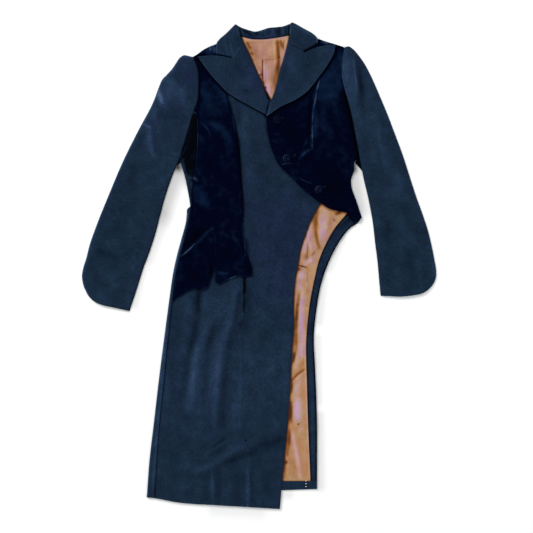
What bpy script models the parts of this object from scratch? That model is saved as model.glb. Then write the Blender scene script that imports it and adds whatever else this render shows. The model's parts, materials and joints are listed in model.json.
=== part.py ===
"""Asymmetric coat-jacket, laid flat on its back with the front up.

The tables are in millimetres, as a pattern cutter measures: x runs across from the middle of the
laid-out coat, and down runs from the top of the collar towards the hem. The model is in metres, with
+X to the viewer's right, +Y towards the collar and +Z up from the surface that the coat lies on.
Left and right are the viewer's.
"""
import math
from collections import namedtuple

import bpy
import numpy as np

# Driving dimensions, in millimetres
COAT_LENGTH = 1218.0
WOOL = 1.8
VELVET = 2.0
SATIN = 1.0

# Clearances: between layers, and across the seams
GAP = 0.3
SEAM_GAP = 0.5
SIDE_SEAM_GAP = 0.9
ARMHOLE_GAP = 0.8
GORGE_GAP = 0.6

# Heights of the layers' lower faces above the surface
BACK_LAYER = 0.0
LINING_LAYER = BACK_LAYER + WOOL + GAP
FRONT_LAYER = LINING_LAYER + SATIN + GAP
OVER_LAYER = FRONT_LAYER + VELVET + GAP

# A turned edge wraps down to the surface, and what lies beneath it stops short of it
TURN = 2.0
TURN_ROUND = 1.3
TURN_INSET = 4.0
SHOULDER_INSET = 6.0
BACK_SIDE_INSET = 5.5
BACK_ARMHOLE_INSET = 2.4
ARMPIT_TRIM = 10.0
BACK_ARMPIT_TRIM = 50.0

# The waist: the skirt starts here, and the left velvet climbs on to it just above
WAIST = 462.0
CLIMB_START = 392.0
CLIMB_LENGTH = 40.0

# The right velvet climbs on to the underlap below the neck, and sinks again beside it
LAP_START = 175.0
LAP_LENGTH = 28.0
LAP_BESIDE = 4.0
LAP_SLOPE = 30.0

# The lapels and leaves roll over the neck edges of the fronts, up to where the neck closes
ROLL_WIDTH = 6.0
ROLL_STEPS = (3.0, 3.0)
LEFT_NECK_CLOSES = 178.0
RIGHT_NECK_CLOSES = 160.0
NECK_CLOSING = 20.0
LINING_UNDERCUT = 8.0

# The fall of the collar lies under the back, and lifts the neck
FALL_DEPTH = 45.0
FALL_TRIM = 8.0
NECK_LIFT = WOOL + GAP
NECK_MIDDLE = 12.0
NECK_HALF_WIDTH = 100.0
NECK_DEPTH = 78.0
NECK_FADE = 70.0
UPPER_NECK_REACH = 12.0

# Sleeves: fullness of the upper side, and where the under side starts below the head
SLEEVE_CROWN = 2.4
SLEEVE_HEAD_CROWN = 3.4
SLEEVE_HEAD_START = 60.0
SLEEVE_HEAD_LENGTH = 190.0
SLEEVE_MOST_RISE = 3.6
SLEEVE_ROUNDING = 0.6
UNDER_SLEEVE_TRIM = 32.0
UNDER_CUFF_TRIM = 1.0

BUTTON_RADIUS = 11.5
BUTTON_HEIGHT = 5.5
BUTTON_CLEARANCE = 0.1

# Rows and columns of the cloth grids
BACK_ROWS = 32
TAIL_ROWS = 28
CENTRE_ROWS = 42
SKIRT_ROWS = 24
SIDE_PANEL_ROWS = 46
VELVET_LEFT_ROWS = 25
VELVET_RIGHT_ROWS = 22
LAPEL_ROWS = 16
LEAF_ROWS = 14
SLEEVE_ROWS = 27
UNDER_SLEEVE_ROWS = 20
LINE_STEP = 2.0

# Share of a row that its fixed edge steps may take, and the angle above which an edge is sharp
EDGE_SHARE = 0.6
SHARP_ANGLE = math.radians(50)

Point = namedtuple("Point", "x down")
Fold = namedtuple("Fold", "x1 down1 x2 down2 width height")
Button = namedtuple("Button", "name x down")
Material = namedtuple("Material", "name colour roughness")

MATERIALS = {
    "wool": Material("wool_navy", (0.0115, 0.0240, 0.0460), 0.85),
    "velvet": Material("velvet_midnight", (0.0012, 0.0030, 0.0130), 0.75),
    "lining": Material("satin_copper", (0.4300, 0.2050, 0.1120), 0.40),
}


def edge(*rows):
    """Points of a cut line, each with its columns x and down."""
    return tuple(Point(*row) for row in rows)


# Neck, collar and lapels
ROLL_LEFT = edge((-55, 8), (-44, 37), (-39, 52), (-26, 78), (-5, 126), (17, 174), (29, 202), (18, 232))
ROLL_RIGHT = edge((79, 4), (75, 34), (71, 54), (65, 78), (51, 126), (39, 174), (24, 212), (18, 237))
COLLAR_TOP = edge((-55, 8), (-44, 14), (-30, 19), (-10, 24), (8, 20), (23, 15), (43, 13), (60, 11), (79, 4))
STAND_SEAM = edge((-44, 37), (-20, 43), (8, 44), (43, 40), (75, 34))
LEAF_LEFT_OUTER = edge((-55, 8), (-60, 6), (-83, 29), (-98, 43), (-106, 54), (-108, 78))
LEAF_LEFT_FRONT = edge((-69, 88.4), (-88, 84), (-108, 78))
LEAF_RIGHT_OUTER = edge((79, 4), (84, 0), (108, 14), (137, 32), (146, 41), (149, 52))
LEAF_RIGHT_FRONT = edge((114, 73.4), (131, 64), (149, 52))
GORGE_LEFT = edge((-39, 52), (-56, 72), (-69, 89))
GORGE_RIGHT = edge((71, 54), (93, 64), (114, 74))
LAPEL_LEFT_TOP = edge((-69, 94), (-113, 89), (-153, 87))
LAPEL_LEFT_OUTER = edge(
    (-153, 87), (-136, 112), (-118, 135), (-100, 155), (-79, 176), (-41, 200), (-12, 216), (18, 232))
LAPEL_RIGHT_TOP = edge((114, 77), (139, 66), (167, 59), (191, 58))
LAPEL_RIGHT_OUTER = edge(
    (191, 58), (187, 78), (170, 109), (148, 140), (120, 174), (91, 195), (55, 212), (18, 237))

# Shoulders and armholes
SHOULDER_LEFT = edge((-166, 90), (-155, 81), (-140, 70), (-123, 61), (-105, 54), (-88, 43), (-66, 30))
SHOULDER_RIGHT = edge((86, 22), (120, 37), (145, 44), (173, 50), (190, 55), (213, 64))
ARMHOLE_LEFT = edge(
    (-166, 90), (-155, 110), (-151, 155), (-154, 198), (-164, 225), (-179, 275), (-191, 315), (-199, 345))
ARMHOLE_RIGHT = edge(
    (213, 64), (208, 104), (208, 144), (217, 180), (229, 223), (239, 273), (250, 331), (256, 364))

# Side edges, seams and hems of the body
BODY_LEFT = edge(
    (-199, 345), (-185, 390), (-178, 424), (-173, 457), (-179, 470), (-183, 500), (-196, 549),
    (-206, 586), (-215, 628), (-225, 697), (-238, 795), (-250, 889), (-263, 1001), (-274, 1095), (-281, 1189))
BODY_RIGHT = edge((256, 364), (238, 355), (231, 385), (231, 411), (242, 444), (257, 489))
SIDE_SEAM_LEFT = edge(
    (-156, 230), (-154, 270), (-155, 315), (-159, 355), (-164, 390), (-167, 424), (-169, 458), (-174, 490),
    (-187, 549), (-197, 586), (-207, 628), (-216, 697), (-227, 795), (-238, 908), (-250, 1020), (-261, 1191))
PRINCESS_LEFT = edge(
    (-100, 46), (-95, 110), (-85, 168), (-75, 198), (-64, 238), (-50, 305), (-45, 372), (-41, 433),
    (-39, 483), (-37, 545), (-37, 770), (-32, 960), (-29, 1103), (-29, 1213))
PEPLUM_RIGHT = edge((-39, 483), (-36, 545), (-31, 592), (-20, 630))
PEPLUM_HEM = edge(
    (-216, 699), (-203, 688), (-173, 671), (-153, 664), (-136, 668), (-128, 664), (-119, 644), (-112, 613),
    (-107, 648), (-99, 655), (-70, 645), (-39, 632), (-20, 630))
HEM_FRONT = edge((-281, 1189), (-261, 1191), (-199, 1202), (-98, 1209), (-29, 1213), (52, 1218))
UNDERLAP_EDGE = edge(
    (-54, 40), (-49, 52), (-36, 78), (-15, 126), (7, 174), (22, 206), (45, 232), (66, 265), (84, 310),
    (106, 358), (133, 405), (152, 440), (153, 454))
SKIRT_EDGE = edge(
    (153, 454), (137, 480), (119, 525), (106, 563), (95, 617), (89, 655), (86, 710), (86, 758),
    (81, 838), (76, 932), (69, 1025), (60, 1118), (52, 1218))
CLOSURE_EDGE = edge(
    (89, 30), (81, 54), (75, 78), (61, 126), (49, 174), (34, 212), (19, 240), (19, 259), (26, 295),
    (35, 326), (53, 360), (78, 386), (109, 417), (151, 451))
BOLERO_HEM = edge((151, 451), (176, 467), (198, 473), (220, 478), (233, 490), (245, 501), (257, 489))
TAIL_EDGE = edge(
    (257, 489), (247, 503), (230, 514), (210, 536), (187, 574), (169, 614), (154, 661), (145, 710),
    (138, 770), (137, 800), (140, 863), (143, 932), (145, 1009), (145, 1118), (145, 1168))
FACING_INNER = edge(
    (236, 455), (220, 479), (191, 514), (168, 554), (151, 594), (139, 643), (128, 699), (121, 758),
    (118, 808), (120, 900), (123, 1009), (129, 1148))
TAIL_HEM_TOP = edge((30, 1148), (145, 1148))
TAIL_HEM_FOOT = edge((30, 1172), (58, 1171), (145, 1168))
BACK_NECK = edge((-48, 36), (8, 38), (70, 34))
BACK_HEM = edge((-276, 1184), (-98, 1178), (58, 1171), (145, 1168))
TAIL_LINING_HIDDEN = edge(
    (118, 440), (127, 470), (100, 520), (78, 565), (62, 660), (60, 760), (50, 932), (34, 1118), (30, 1148))
FACING_TOP = edge((240, 458), (247, 478))
FACING_FOOT = edge((145, 1148),)

# Levels down the coat where pieces start and end
CENTRE_SPAN = (60.0, 1212.5)
NECK_LINING_SPAN = (34.0, 200.0)
PRINCESS_TOP = 51.0
SIDE_PANEL_TOP = 230.0
SIDE_SEAM_FOOT = 1190.5
VELVET_LEAVES_ARMHOLE = 222.0

# Sleeves
SLEEVE_LEFT_OUTER = edge(
    (-169, 88), (-185, 83), (-204, 93), (-219, 114), (-243, 141), (-266, 203), (-304, 275), (-341, 350),
    (-375, 430), (-406, 507), (-424, 558), (-432, 590), (-440, 616), (-443, 636), (-439, 660), (-429, 682))
SLEEVE_LEFT_INNER = edge(
    (-199, 345), (-207, 361), (-223, 402), (-236, 442), (-249, 490), (-259, 529), (-275, 578),
    (-290, 618), (-304, 663), (-324, 723))
SLEEVE_LEFT_HEM = edge((-429, 682), (-415, 697), (-395, 707), (-364, 714), (-324, 723))
SLEEVE_RIGHT_OUTER = edge(
    (215, 63), (224, 61), (233, 66), (250, 85), (265, 107), (283, 142), (303, 188), (319, 226),
    (340, 281), (358, 329), (379, 394), (393, 437), (408, 478), (423, 524), (431, 557), (438, 592),
    (443, 623), (442, 641), (435, 657), (422, 671))
SLEEVE_RIGHT_INNER = edge(
    (256, 364), (261, 390), (273, 441), (284, 499), (290, 551), (296, 598), (301, 654), (304, 685))
SLEEVE_RIGHT_HEM = edge((422, 671), (408, 679), (385, 684), (356, 687), (327, 686), (304, 685))

# Largest folds: each is a soft ridge or trough along a line, a row for each. At its ends a fold
# keeps this share of its height.
FOLD_END = 0.3
BODY_FOLDS = (
    Fold(-160, 745, -172, 985, 15, 1.9),
    Fold(-94, 700, -112, 1020, 17, 2.0),
    Fold(-176, 1128, -38, 1050, 18, 1.5),
    Fold(-38, 1050, 56, 1010, 18, 1.3),
    Fold(-125, 260, -92, 340, 20, 1.3),
)
VELVET_FOLDS = (
    Fold(-196, 587, -125, 524, 9, 1.9),
    Fold(-125, 524, -80, 500, 13, 1.2),
    Fold(139, 190, 134, 250, 8, 1.3),
    Fold(133, 240, 133, 316, 8, 1.7),
    Fold(131, 318, 95, 354, 9, 1.6),
)
SLEEVE_FOLDS = (
    Fold(-222, 150, -262, 300, 16, 1.0),
    Fold(-275, 250, -300, 420, 18, 0.8),
    Fold(-330, 520, -395, 600, 20, 0.8),
    Fold(241, 95, 244, 190, 9, 1.0),
    Fold(256, 108, 262, 220, 10, -1.0),
    Fold(330, 330, 345, 520, 20, 0.8),
    Fold(375, 480, 385, 640, 18, 0.7),
)

BUTTONS = (
    Button("button_1", 45, 244),
    Button("button_2", 70, 342),
    Button("button_3", 150, 420),
)

# Points of the button's turned outline: share of the radius, share of the height
BUTTON_PROFILE = (
    (0.60, 0.0), (0.92, 0.08), (1.0, 0.30), (0.90, 0.58), (0.70, 0.56), (0.55, 0.78), (0.25, 0.97))
BUTTON_SIDES = 16


def smooth_line(points, step=LINE_STEP):
    """Dense points of the smooth line through the points of an edge."""
    given = np.array([(p[0], p[1]) for p in points], float)
    longer = np.vstack([2 * given[0] - given[1], given, 2 * given[-1] - given[-2]])
    pieces = []
    for a, b, c, d in zip(longer[:-3], longer[1:-2], longer[2:-1], longer[3:]):
        count = max(2, int(math.ceil(np.linalg.norm(c - b) / step)))
        span = np.linalg.norm(c - b)
        before = max(np.linalg.norm(b - a), 1e-6)
        after = max(np.linalg.norm(d - c), 1e-6)
        tangent_b = span * ((b - a) / before + (c - b) / span) / 2
        tangent_c = span * ((c - b) / span + (d - c) / after) / 2
        t = np.linspace(0, 1, count, endpoint=False)[:, None]
        pieces.append(
            (2 * t**3 - 3 * t**2 + 1) * b + (t**3 - 2 * t**2 + t) * tangent_b
            + (3 * t**2 - 2 * t**3) * c + (t**3 - t**2) * tangent_c)
    return np.vstack(pieces + [given[-1:]])


def straight_line(points):
    """The points themselves, where an outline keeps its corners."""
    return np.array([(p[0], p[1]) for p in points], float)


def moved(line, across=0.0, down=0.0):
    return line + np.array([across, down])


def between(line, down_start, down_end):
    """The stretch of a line that runs down from one level to another."""
    levels = line[:, 1]
    inside = line[(levels > down_start) & (levels < down_end)]
    return np.vstack([[x_at(line, down_start), down_start], inside, [x_at(line, down_end), down_end]])


def trimmed(line, start=0.0, end=0.0):
    """The line cut short at its ends by lengths along it."""
    steps = np.linalg.norm(np.diff(line, axis=0), axis=1)
    length = np.concatenate([[0], np.cumsum(steps)])
    inside = line[(length > start) & (length < length[-1] - end)]
    first, last = along(line, [start / length[-1], 1 - end / length[-1]])
    return np.vstack([first, inside, last])


def x_at(line, down):
    """x of a line that runs steadily down, at a level."""
    return np.interp(down, line[:, 1], line[:, 0])


def joined(*lines):
    return np.vstack(lines)


def along(line, shares):
    """Points at given shares of a line's length."""
    steps = np.linalg.norm(np.diff(line, axis=0), axis=1)
    length = np.concatenate([[0], np.cumsum(steps)])
    wanted = np.asarray(shares) * length[-1]
    return np.stack([np.interp(wanted, length, line[:, 0]), np.interp(wanted, length, line[:, 1])], axis=-1)


def inset(line, distance):
    """The line moved sideways, to the left of its run down the page where distance is positive."""
    run = np.gradient(line, axis=0)
    run = run / np.maximum(np.linalg.norm(run, axis=1, keepdims=True), 1e-6)
    return line + distance * np.stack([run[:, 1], -run[:, 0]], axis=-1)


def line_length(line):
    return np.linalg.norm(np.diff(line, axis=0), axis=1).sum()


def soft_step(t):
    t = np.clip(t, 0, 1)
    return t * t * (3 - 2 * t)


def fold_height(folds, x, down):
    """Sum of the soft ridges and troughs at a place."""
    total = np.zeros(np.shape(x))
    for fold in folds:
        run = np.array([fold.x2 - fold.x1, fold.down2 - fold.down1], float)
        share = ((x - fold.x1) * run[0] + (down - fold.down1) * run[1]) / run.dot(run)
        share = np.clip(share, 0, 1)
        apart = np.hypot(x - fold.x1 - share * run[0], down - fold.down1 - share * run[1])
        taper = FOLD_END + (1 - FOLD_END) * np.sin(math.pi * share)
        total = total + fold.height * taper * np.exp(-((apart / fold.width) ** 2))
    return total


def neck_lift(x, down, reach=0.0):
    """Rise of every layer over the fall of the collar. The upper layers come down further out."""
    beyond_x = np.maximum(np.abs(x - NECK_MIDDLE) - NECK_HALF_WIDTH - reach, 0)
    beyond_down = np.maximum(down - NECK_DEPTH - reach, 0)
    return NECK_LIFT * (1 - soft_step(np.hypot(beyond_x, beyond_down) / NECK_FADE))


def front_lift(x, down):
    return neck_lift(x, down, UPPER_NECK_REACH) + fold_height(BODY_FOLDS, x, down)


def back_seat(x, down, across=None):
    return BACK_LAYER + neck_lift(x, down)


def lining_seat(x, down, across=None):
    return LINING_LAYER + neck_lift(x, down, UPPER_NECK_REACH)


def front_seat(x, down, across=None):
    return FRONT_LAYER + front_lift(x, down)


def peplum_seat(x, down, across=None):
    """The left velvet is level with the wool in the bodice and lies over the skirt below the waist."""
    over = soft_step((down - CLIMB_START) / CLIMB_LENGTH)
    own = fold_height(VELVET_FOLDS, x, down)
    return FRONT_LAYER + (OVER_LAYER - FRONT_LAYER) * over + front_lift(x, down) + own


def bolero_seat(x, down, across=None):
    """The right velvet lies over the underlap and sinks to the front layer beyond it."""
    lap = smooth_line(UNDERLAP_EDGE)
    beside = soft_step((x - x_at(lap, down) - LAP_BESIDE) / LAP_SLOPE)
    below_neck = soft_step((down - LAP_START) / LAP_LENGTH)
    over = (1 - beside) * below_neck
    own = fold_height(VELVET_FOLDS, x, down)
    return FRONT_LAYER + (OVER_LAYER - FRONT_LAYER) * over + front_lift(x, down) + own


def lapel_left_seat(x, down, across=None):
    roll = smooth_line(ROLL_LEFT[:7])
    apart = np.abs(x - x_at(roll, down))
    open_neck = 1 - soft_step((down - LEFT_NECK_CLOSES) / NECK_CLOSING)
    sink = (1 - soft_step(apart / ROLL_WIDTH)) * open_neck
    return OVER_LAYER - (OVER_LAYER - FRONT_LAYER) * sink + front_lift(x, down)


def lapel_right_seat(x, down, across=None):
    roll = smooth_line(ROLL_RIGHT)
    apart = np.abs(x - x_at(roll, down))
    closing = soft_step((down - RIGHT_NECK_CLOSES) / NECK_CLOSING)
    sink = (1 - soft_step(apart / ROLL_WIDTH)) * (1 - closing)
    high = np.maximum(bolero_seat(x, down) + VELVET + GAP, (OVER_LAYER + VELVET + GAP) * closing)
    return high - (high - FRONT_LAYER - front_lift(x, down)) * sink


def leaf_left_seat(x, down, across=None):
    return leaf_seat(smooth_line(ROLL_LEFT[:5]), x, down)


def leaf_right_seat(x, down, across=None):
    return leaf_seat(smooth_line(ROLL_RIGHT[:5]), x, down)


def leaf_seat(roll, x, down):
    """A collar leaf lies over the shoulder and sinks to the stand at the roll."""
    apart = np.abs(x - x_at(roll, down))
    sink = 1 - soft_step(apart / ROLL_WIDTH)
    return OVER_LAYER - (OVER_LAYER - FRONT_LAYER) * sink + front_lift(x, down)


def sleeve_seat(x, down, across):
    """Lower face of a sleeve's upper side, rounded across and fuller at the head."""
    head = 1 - soft_step((down - SLEEVE_HEAD_START) / SLEEVE_HEAD_LENGTH)
    crown = SLEEVE_CROWN + (SLEEVE_HEAD_CROWN - SLEEVE_CROWN) * head
    rounding = np.sin(math.pi * np.clip(across, 0, 1)) ** SLEEVE_ROUNDING
    rise = crown * rounding + fold_height(SLEEVE_FOLDS, x, down) * rounding
    return LINING_LAYER + np.clip(rise, 0, SLEEVE_MOST_RISE)


def surface_seat(x, down, across=None):
    return np.zeros(np.shape(x))


def column_shares(width, count, start_steps, end_steps):
    """Shares across a row: fixed steps at its ends and even ones between."""
    start = np.cumsum(start_steps)
    end = np.cumsum(end_steps)
    spare = width * EDGE_SHARE
    fixed = (start[-1] if len(start) else 0) + (end[-1] if len(end) else 0)
    scale = min(1.0, spare / fixed) if fixed else 1.0
    first = start * scale / width
    last = 1 - end[::-1] * scale / width
    low = first[-1] if len(first) else 0.0
    high = last[0] if len(last) else 1.0
    even = np.linspace(low, high, count + 1)
    start_end = [0.0] if len(first) else []
    far_end = [1.0] if len(last) else []
    return np.concatenate([start_end, first[:-1], even, last[1:], far_end])


def plan_grid(top, bottom, left, right, rows, columns, steps):
    """Grid of plan points between four edges: rows run from left to right."""
    height = (line_length(left) + line_length(right)) / 2
    downs = column_shares(height, rows, steps.get("top", ()), steps.get("bottom", ()))
    grid = []
    for v in downs:
        a = along(left, [v])[0]
        b = along(right, [v])[0]
        width = max(np.linalg.norm(b - a), 0.5)
        u = column_shares(width, columns, steps.get("left", ()), steps.get("right", ()))
        across = u[:, None]
        upper = along(top, u)
        lower = along(bottom, u)
        corners = (
            (1 - across) * (1 - v) * top[0] + across * (1 - v) * top[-1]
            + (1 - across) * v * bottom[0] + across * v * bottom[-1])
        grid.append((1 - v) * upper + v * lower + (1 - across) * a + across * b - corners)
    return np.array(grid)


GRID_SIDES = {"left": np.s_[:, 0], "right": np.s_[:, -1], "top": np.s_[0, :], "bottom": np.s_[-1, :]}


def fabric(name, plan, seat, thickness, kind, turned=()):
    """Closed wall of cloth over a plan grid. Turned sides wrap down to the surface."""
    x = plan[:, :, 0]
    down = plan[:, :, 1]
    steps = np.linalg.norm(np.diff(plan, axis=1), axis=2)
    across = np.concatenate([np.zeros((len(plan), 1)), np.cumsum(steps, axis=1)], axis=1)
    across = across / np.maximum(across[:, -1:], 1e-6)
    lower = seat(x, down, across)
    upper = lower + thickness
    flat = lower
    for side, applies in turned:
        mask = np.zeros(x.shape, bool)
        mask[GRID_SIDES[side]] = True
        mask &= applies(x, down)
        lower = np.where(mask, 0.0, lower)
        upper = np.where(mask, flat + thickness - TURN_ROUND, upper)
    return wall_mesh(name, plan, lower, upper, kind)


def wall_mesh(name, plan, lower, upper, kind):
    """Mesh of a wall: its upper and lower faces and the rim between them."""
    rows, columns = plan.shape[:2]
    vertices = []
    for heights in (upper, lower):
        for r in range(rows):
            for c in range(columns):
                vertices.append((
                    plan[r, c, 0] / 1000, (COAT_LENGTH / 2 - plan[r, c, 1]) / 1000, heights[r, c] / 1000))
    under = rows * columns
    faces = []
    for r in range(rows - 1):
        for c in range(columns - 1):
            a = r * columns + c
            b = a + 1
            d = a + columns
            faces.append((a, d, d + 1, b))
            faces.append((under + a, under + b, under + d + 1, under + d))
    ring = list(range(columns))
    ring += [r * columns + columns - 1 for r in range(1, rows)]
    ring += [(rows - 1) * columns + c for c in range(columns - 2, -1, -1)]
    ring += [r * columns for r in range(rows - 2, 0, -1)]
    for a, b in zip(ring, ring[1:] + ring[:1]):
        faces.append((a, b, under + b, under + a))
    return add_object(name, vertices, faces, kind)


def add_object(name, vertices, faces, kind):
    mesh = bpy.data.meshes.new(name)
    mesh.from_pydata(vertices, [], faces)
    mesh.update()
    mesh.shade_smooth()
    mesh.set_sharp_from_angle(angle=SHARP_ANGLE)
    mesh.materials.append(principled(name, MATERIALS[kind]))
    piece = bpy.data.objects.new(name, mesh)
    bpy.context.scene.collection.objects.link(piece)
    return piece


def principled(name, look):
    material = bpy.data.materials.new(look.name + "_" + name)
    material.use_nodes = True
    shader = material.node_tree.nodes["Principled BSDF"]
    shader.inputs["Base Color"].default_value = (*look.colour, 1.0)
    shader.inputs["Roughness"].default_value = look.roughness
    shader.inputs["Metallic"].default_value = 0.0
    return material


def everywhere(x, down):
    return np.ones(x.shape, bool)


def above(level):
    return lambda x, down: down < level


def below(level):
    return lambda x, down: down > level


def right_of(place):
    return lambda x, down: x > place


def ends(start, end):
    """A straight edge between two points."""
    return np.array([start, end])


def add_back():
    """Back panel with its tail. Its edges stop short of the fronts' turned edges."""
    armhole = moved(smooth_line(ARMHOLE_LEFT), across=BACK_ARMHOLE_INSET)
    side = moved(smooth_line(BODY_LEFT), across=BACK_SIDE_INSET)
    left = joined(
        trimmed(armhole, SHOULDER_INSET, ARMPIT_TRIM), trimmed(side, ARMPIT_TRIM, TURN_INSET), BACK_HEM[:1])
    armhole = moved(smooth_line(ARMHOLE_RIGHT), across=-BACK_ARMHOLE_INSET)
    side = moved(smooth_line(BODY_RIGHT), across=-BACK_SIDE_INSET)
    right = joined(
        trimmed(armhole, SHOULDER_INSET, BACK_ARMPIT_TRIM), trimmed(side, BACK_ARMPIT_TRIM, SHOULDER_INSET),
        trimmed(smooth_line(TAIL_EDGE), SHOULDER_INSET))
    left_shoulder = moved(trimmed(smooth_line(SHOULDER_LEFT), SHOULDER_INSET), down=SHOULDER_INSET)
    right_shoulder = moved(trimmed(smooth_line(SHOULDER_RIGHT), 0, SHOULDER_INSET), down=SHOULDER_INSET)
    top = joined(left[:1], left_shoulder, BACK_NECK, right_shoulder, right[:1])
    plan = plan_grid(top, smooth_line(BACK_HEM), left, right, BACK_ROWS, 6, {})
    fabric("back", plan, back_seat, WOOL, "wool")


def add_linings():
    """Satin that shows in the neck and inside the tail."""
    left = moved(between(smooth_line(ROLL_LEFT[:7]), *NECK_LINING_SPAN), across=-LINING_UNDERCUT)
    right = moved(between(smooth_line(ROLL_RIGHT), *NECK_LINING_SPAN), across=LINING_UNDERCUT)
    top = joined(left[:1], BACK_NECK[1:2], right[:1])
    plan = plan_grid(top, ends(left[-1], right[-1]), left, right, 8, 5, {})
    fabric("lining_neck", plan, lining_seat, SATIN, "lining")

    right = moved(smooth_line(FACING_INNER), across=-SEAM_GAP)
    left = smooth_line(TAIL_LINING_HIDDEN)
    plan = plan_grid(ends(left[0], right[0]), ends(left[-1], right[-1]), left, right, TAIL_ROWS, 3, {})
    fabric("lining_tail", plan, lining_seat, SATIN, "lining")


def add_tail_facing():
    """Wool facing along the tail's edge, and the hem turned up along its foot."""
    left = smooth_line(FACING_INNER)
    right = joined(FACING_TOP, trimmed(smooth_line(TAIL_EDGE[1:-1]), ARMPIT_TRIM), FACING_FOOT)
    plan = plan_grid(ends(left[0], right[0]), ends(left[-1], right[-1]), left, right, TAIL_ROWS, 2, {})
    fabric("tail_facing", plan, lining_seat, SATIN, "wool")

    top = moved(straight_line(TAIL_HEM_TOP), down=GAP)
    bottom = straight_line(TAIL_HEM_FOOT)
    plan = plan_grid(top, bottom, ends(top[0], bottom[0]), ends(top[-1], bottom[-1]), 2, 5, {})
    fabric("tail_hem", plan, lining_seat, SATIN, "wool")


def hem_stretch(left, right):
    """The stretch of the front hem between two points on it."""
    hem = smooth_line(HEM_FRONT)
    inside = hem[(hem[:, 0] > left[0] + LINE_STEP) & (hem[:, 0] < right[0] - LINE_STEP)]
    return np.vstack([[left], inside, [right]])


def add_front_centre():
    """Wool panel from the shoulder to the hem, with the underlap that the right front closes over."""
    left = between(moved(smooth_line(PRINCESS_LEFT), across=SEAM_GAP / 2), *CENTRE_SPAN)
    right = joined(smooth_line(UNDERLAP_EDGE), smooth_line(SKIRT_EDGE)[1:])
    bottom = hem_stretch(left[-1], right[-1])
    plan = plan_grid(ends(left[0], right[0]), bottom, left, right, CENTRE_ROWS, 7, {})
    fabric("front_centre", plan, front_seat, WOOL, "wool")


def add_side_skirt():
    """Wool skirt panel between the princess seam and the side seam, from the waist down."""
    left = moved(between(smooth_line(SIDE_SEAM_LEFT), WAIST, SIDE_SEAM_FOOT), across=SIDE_SEAM_GAP / 2)
    right = moved(between(smooth_line(PRINCESS_LEFT), WAIST, CENTRE_SPAN[1]), across=-SEAM_GAP / 2)
    bottom = hem_stretch(left[-1], right[-1])
    plan = plan_grid(ends(left[0], right[0]), bottom, left, right, SKIRT_ROWS, 10, {})
    fabric("front_side_skirt", plan, front_seat, WOOL, "wool")


def add_side_panel():
    """Wool panel under the left arm, turned round the left edge of the body."""
    seam = moved(smooth_line(SIDE_SEAM_LEFT), across=-SIDE_SEAM_GAP / 2)
    seam = between(seam, SIDE_PANEL_TOP, SIDE_SEAM_FOOT)
    armhole = moved(smooth_line(ARMHOLE_LEFT), across=ARMHOLE_GAP)
    armpit = ARMHOLE_LEFT[-1].down
    left = joined(between(armhole, SIDE_PANEL_TOP, armpit - GAP), trimmed(smooth_line(BODY_LEFT), TURN))
    plan = plan_grid(
        ends(left[0], seam[0]), ends(left[-1], seam[-1]), left, seam, SIDE_PANEL_ROWS, 2, {"left": (TURN,)})
    fabric("side_panel_left", plan, front_seat, WOOL, "wool", [("left", below(armpit + ARMPIT_TRIM))])


def add_velvet_left():
    """Velvet side front that flares into a pointed peplum over the skirt."""
    armhole = moved(smooth_line(ARMHOLE_LEFT), across=ARMHOLE_GAP)
    seam = moved(smooth_line(SIDE_SEAM_LEFT), across=SIDE_SEAM_GAP / 2)
    left = joined(
        between(armhole, ARMHOLE_LEFT[0].down, VELVET_LEAVES_ARMHOLE),
        between(seam, SIDE_PANEL_TOP, PEPLUM_HEM[0].down))
    princess = moved(smooth_line(PRINCESS_LEFT), across=-SEAM_GAP / 2)
    right = joined(
        between(princess, PRINCESS_TOP, PEPLUM_RIGHT[0].down - TURN),
        moved(smooth_line(PEPLUM_RIGHT), across=-SEAM_GAP / 2))
    shoulder = trimmed(smooth_line(SHOULDER_LEFT), TURN)
    top = joined(left[:1], shoulder[shoulder[:, 0] < right[0, 0] - TURN], right[:1])
    bottom = joined(left[-1:], straight_line(PEPLUM_HEM)[1:-1], right[-1:])
    plan = plan_grid(top, bottom, left, right, VELVET_LEFT_ROWS, 16, {"top": (TURN,)})
    fabric("velvet_left", plan, peplum_seat, VELVET, "velvet", [("top", everywhere)])


def add_velvet_right():
    """Velvet right front, cut away from the closure in a curve to a point at the side."""
    left = smooth_line(CLOSURE_EDGE)
    armhole = moved(smooth_line(ARMHOLE_RIGHT), across=-ARMHOLE_GAP)
    right = joined(trimmed(armhole, 0, ARMPIT_TRIM), trimmed(smooth_line(BODY_RIGHT), 1.5 * ARMPIT_TRIM))
    shoulder = smooth_line(SHOULDER_RIGHT)
    inside = (shoulder[:, 0] > left[0, 0] + TURN) & (shoulder[:, 0] < right[0, 0] - TURN)
    top = joined(left[:1], shoulder[inside], right[:1])
    plan = plan_grid(
        top, smooth_line(BOLERO_HEM), left, right, VELVET_RIGHT_ROWS, 12, {"top": (TURN,), "right": (TURN,)})
    turned = [("top", right_of(SHOULDER_RIGHT[1].x - ARMPIT_TRIM)), ("right", below(ARMHOLE_RIGHT[-1].down))]
    fabric("velvet_right", plan, bolero_seat, VELVET, "velvet", turned)


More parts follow.
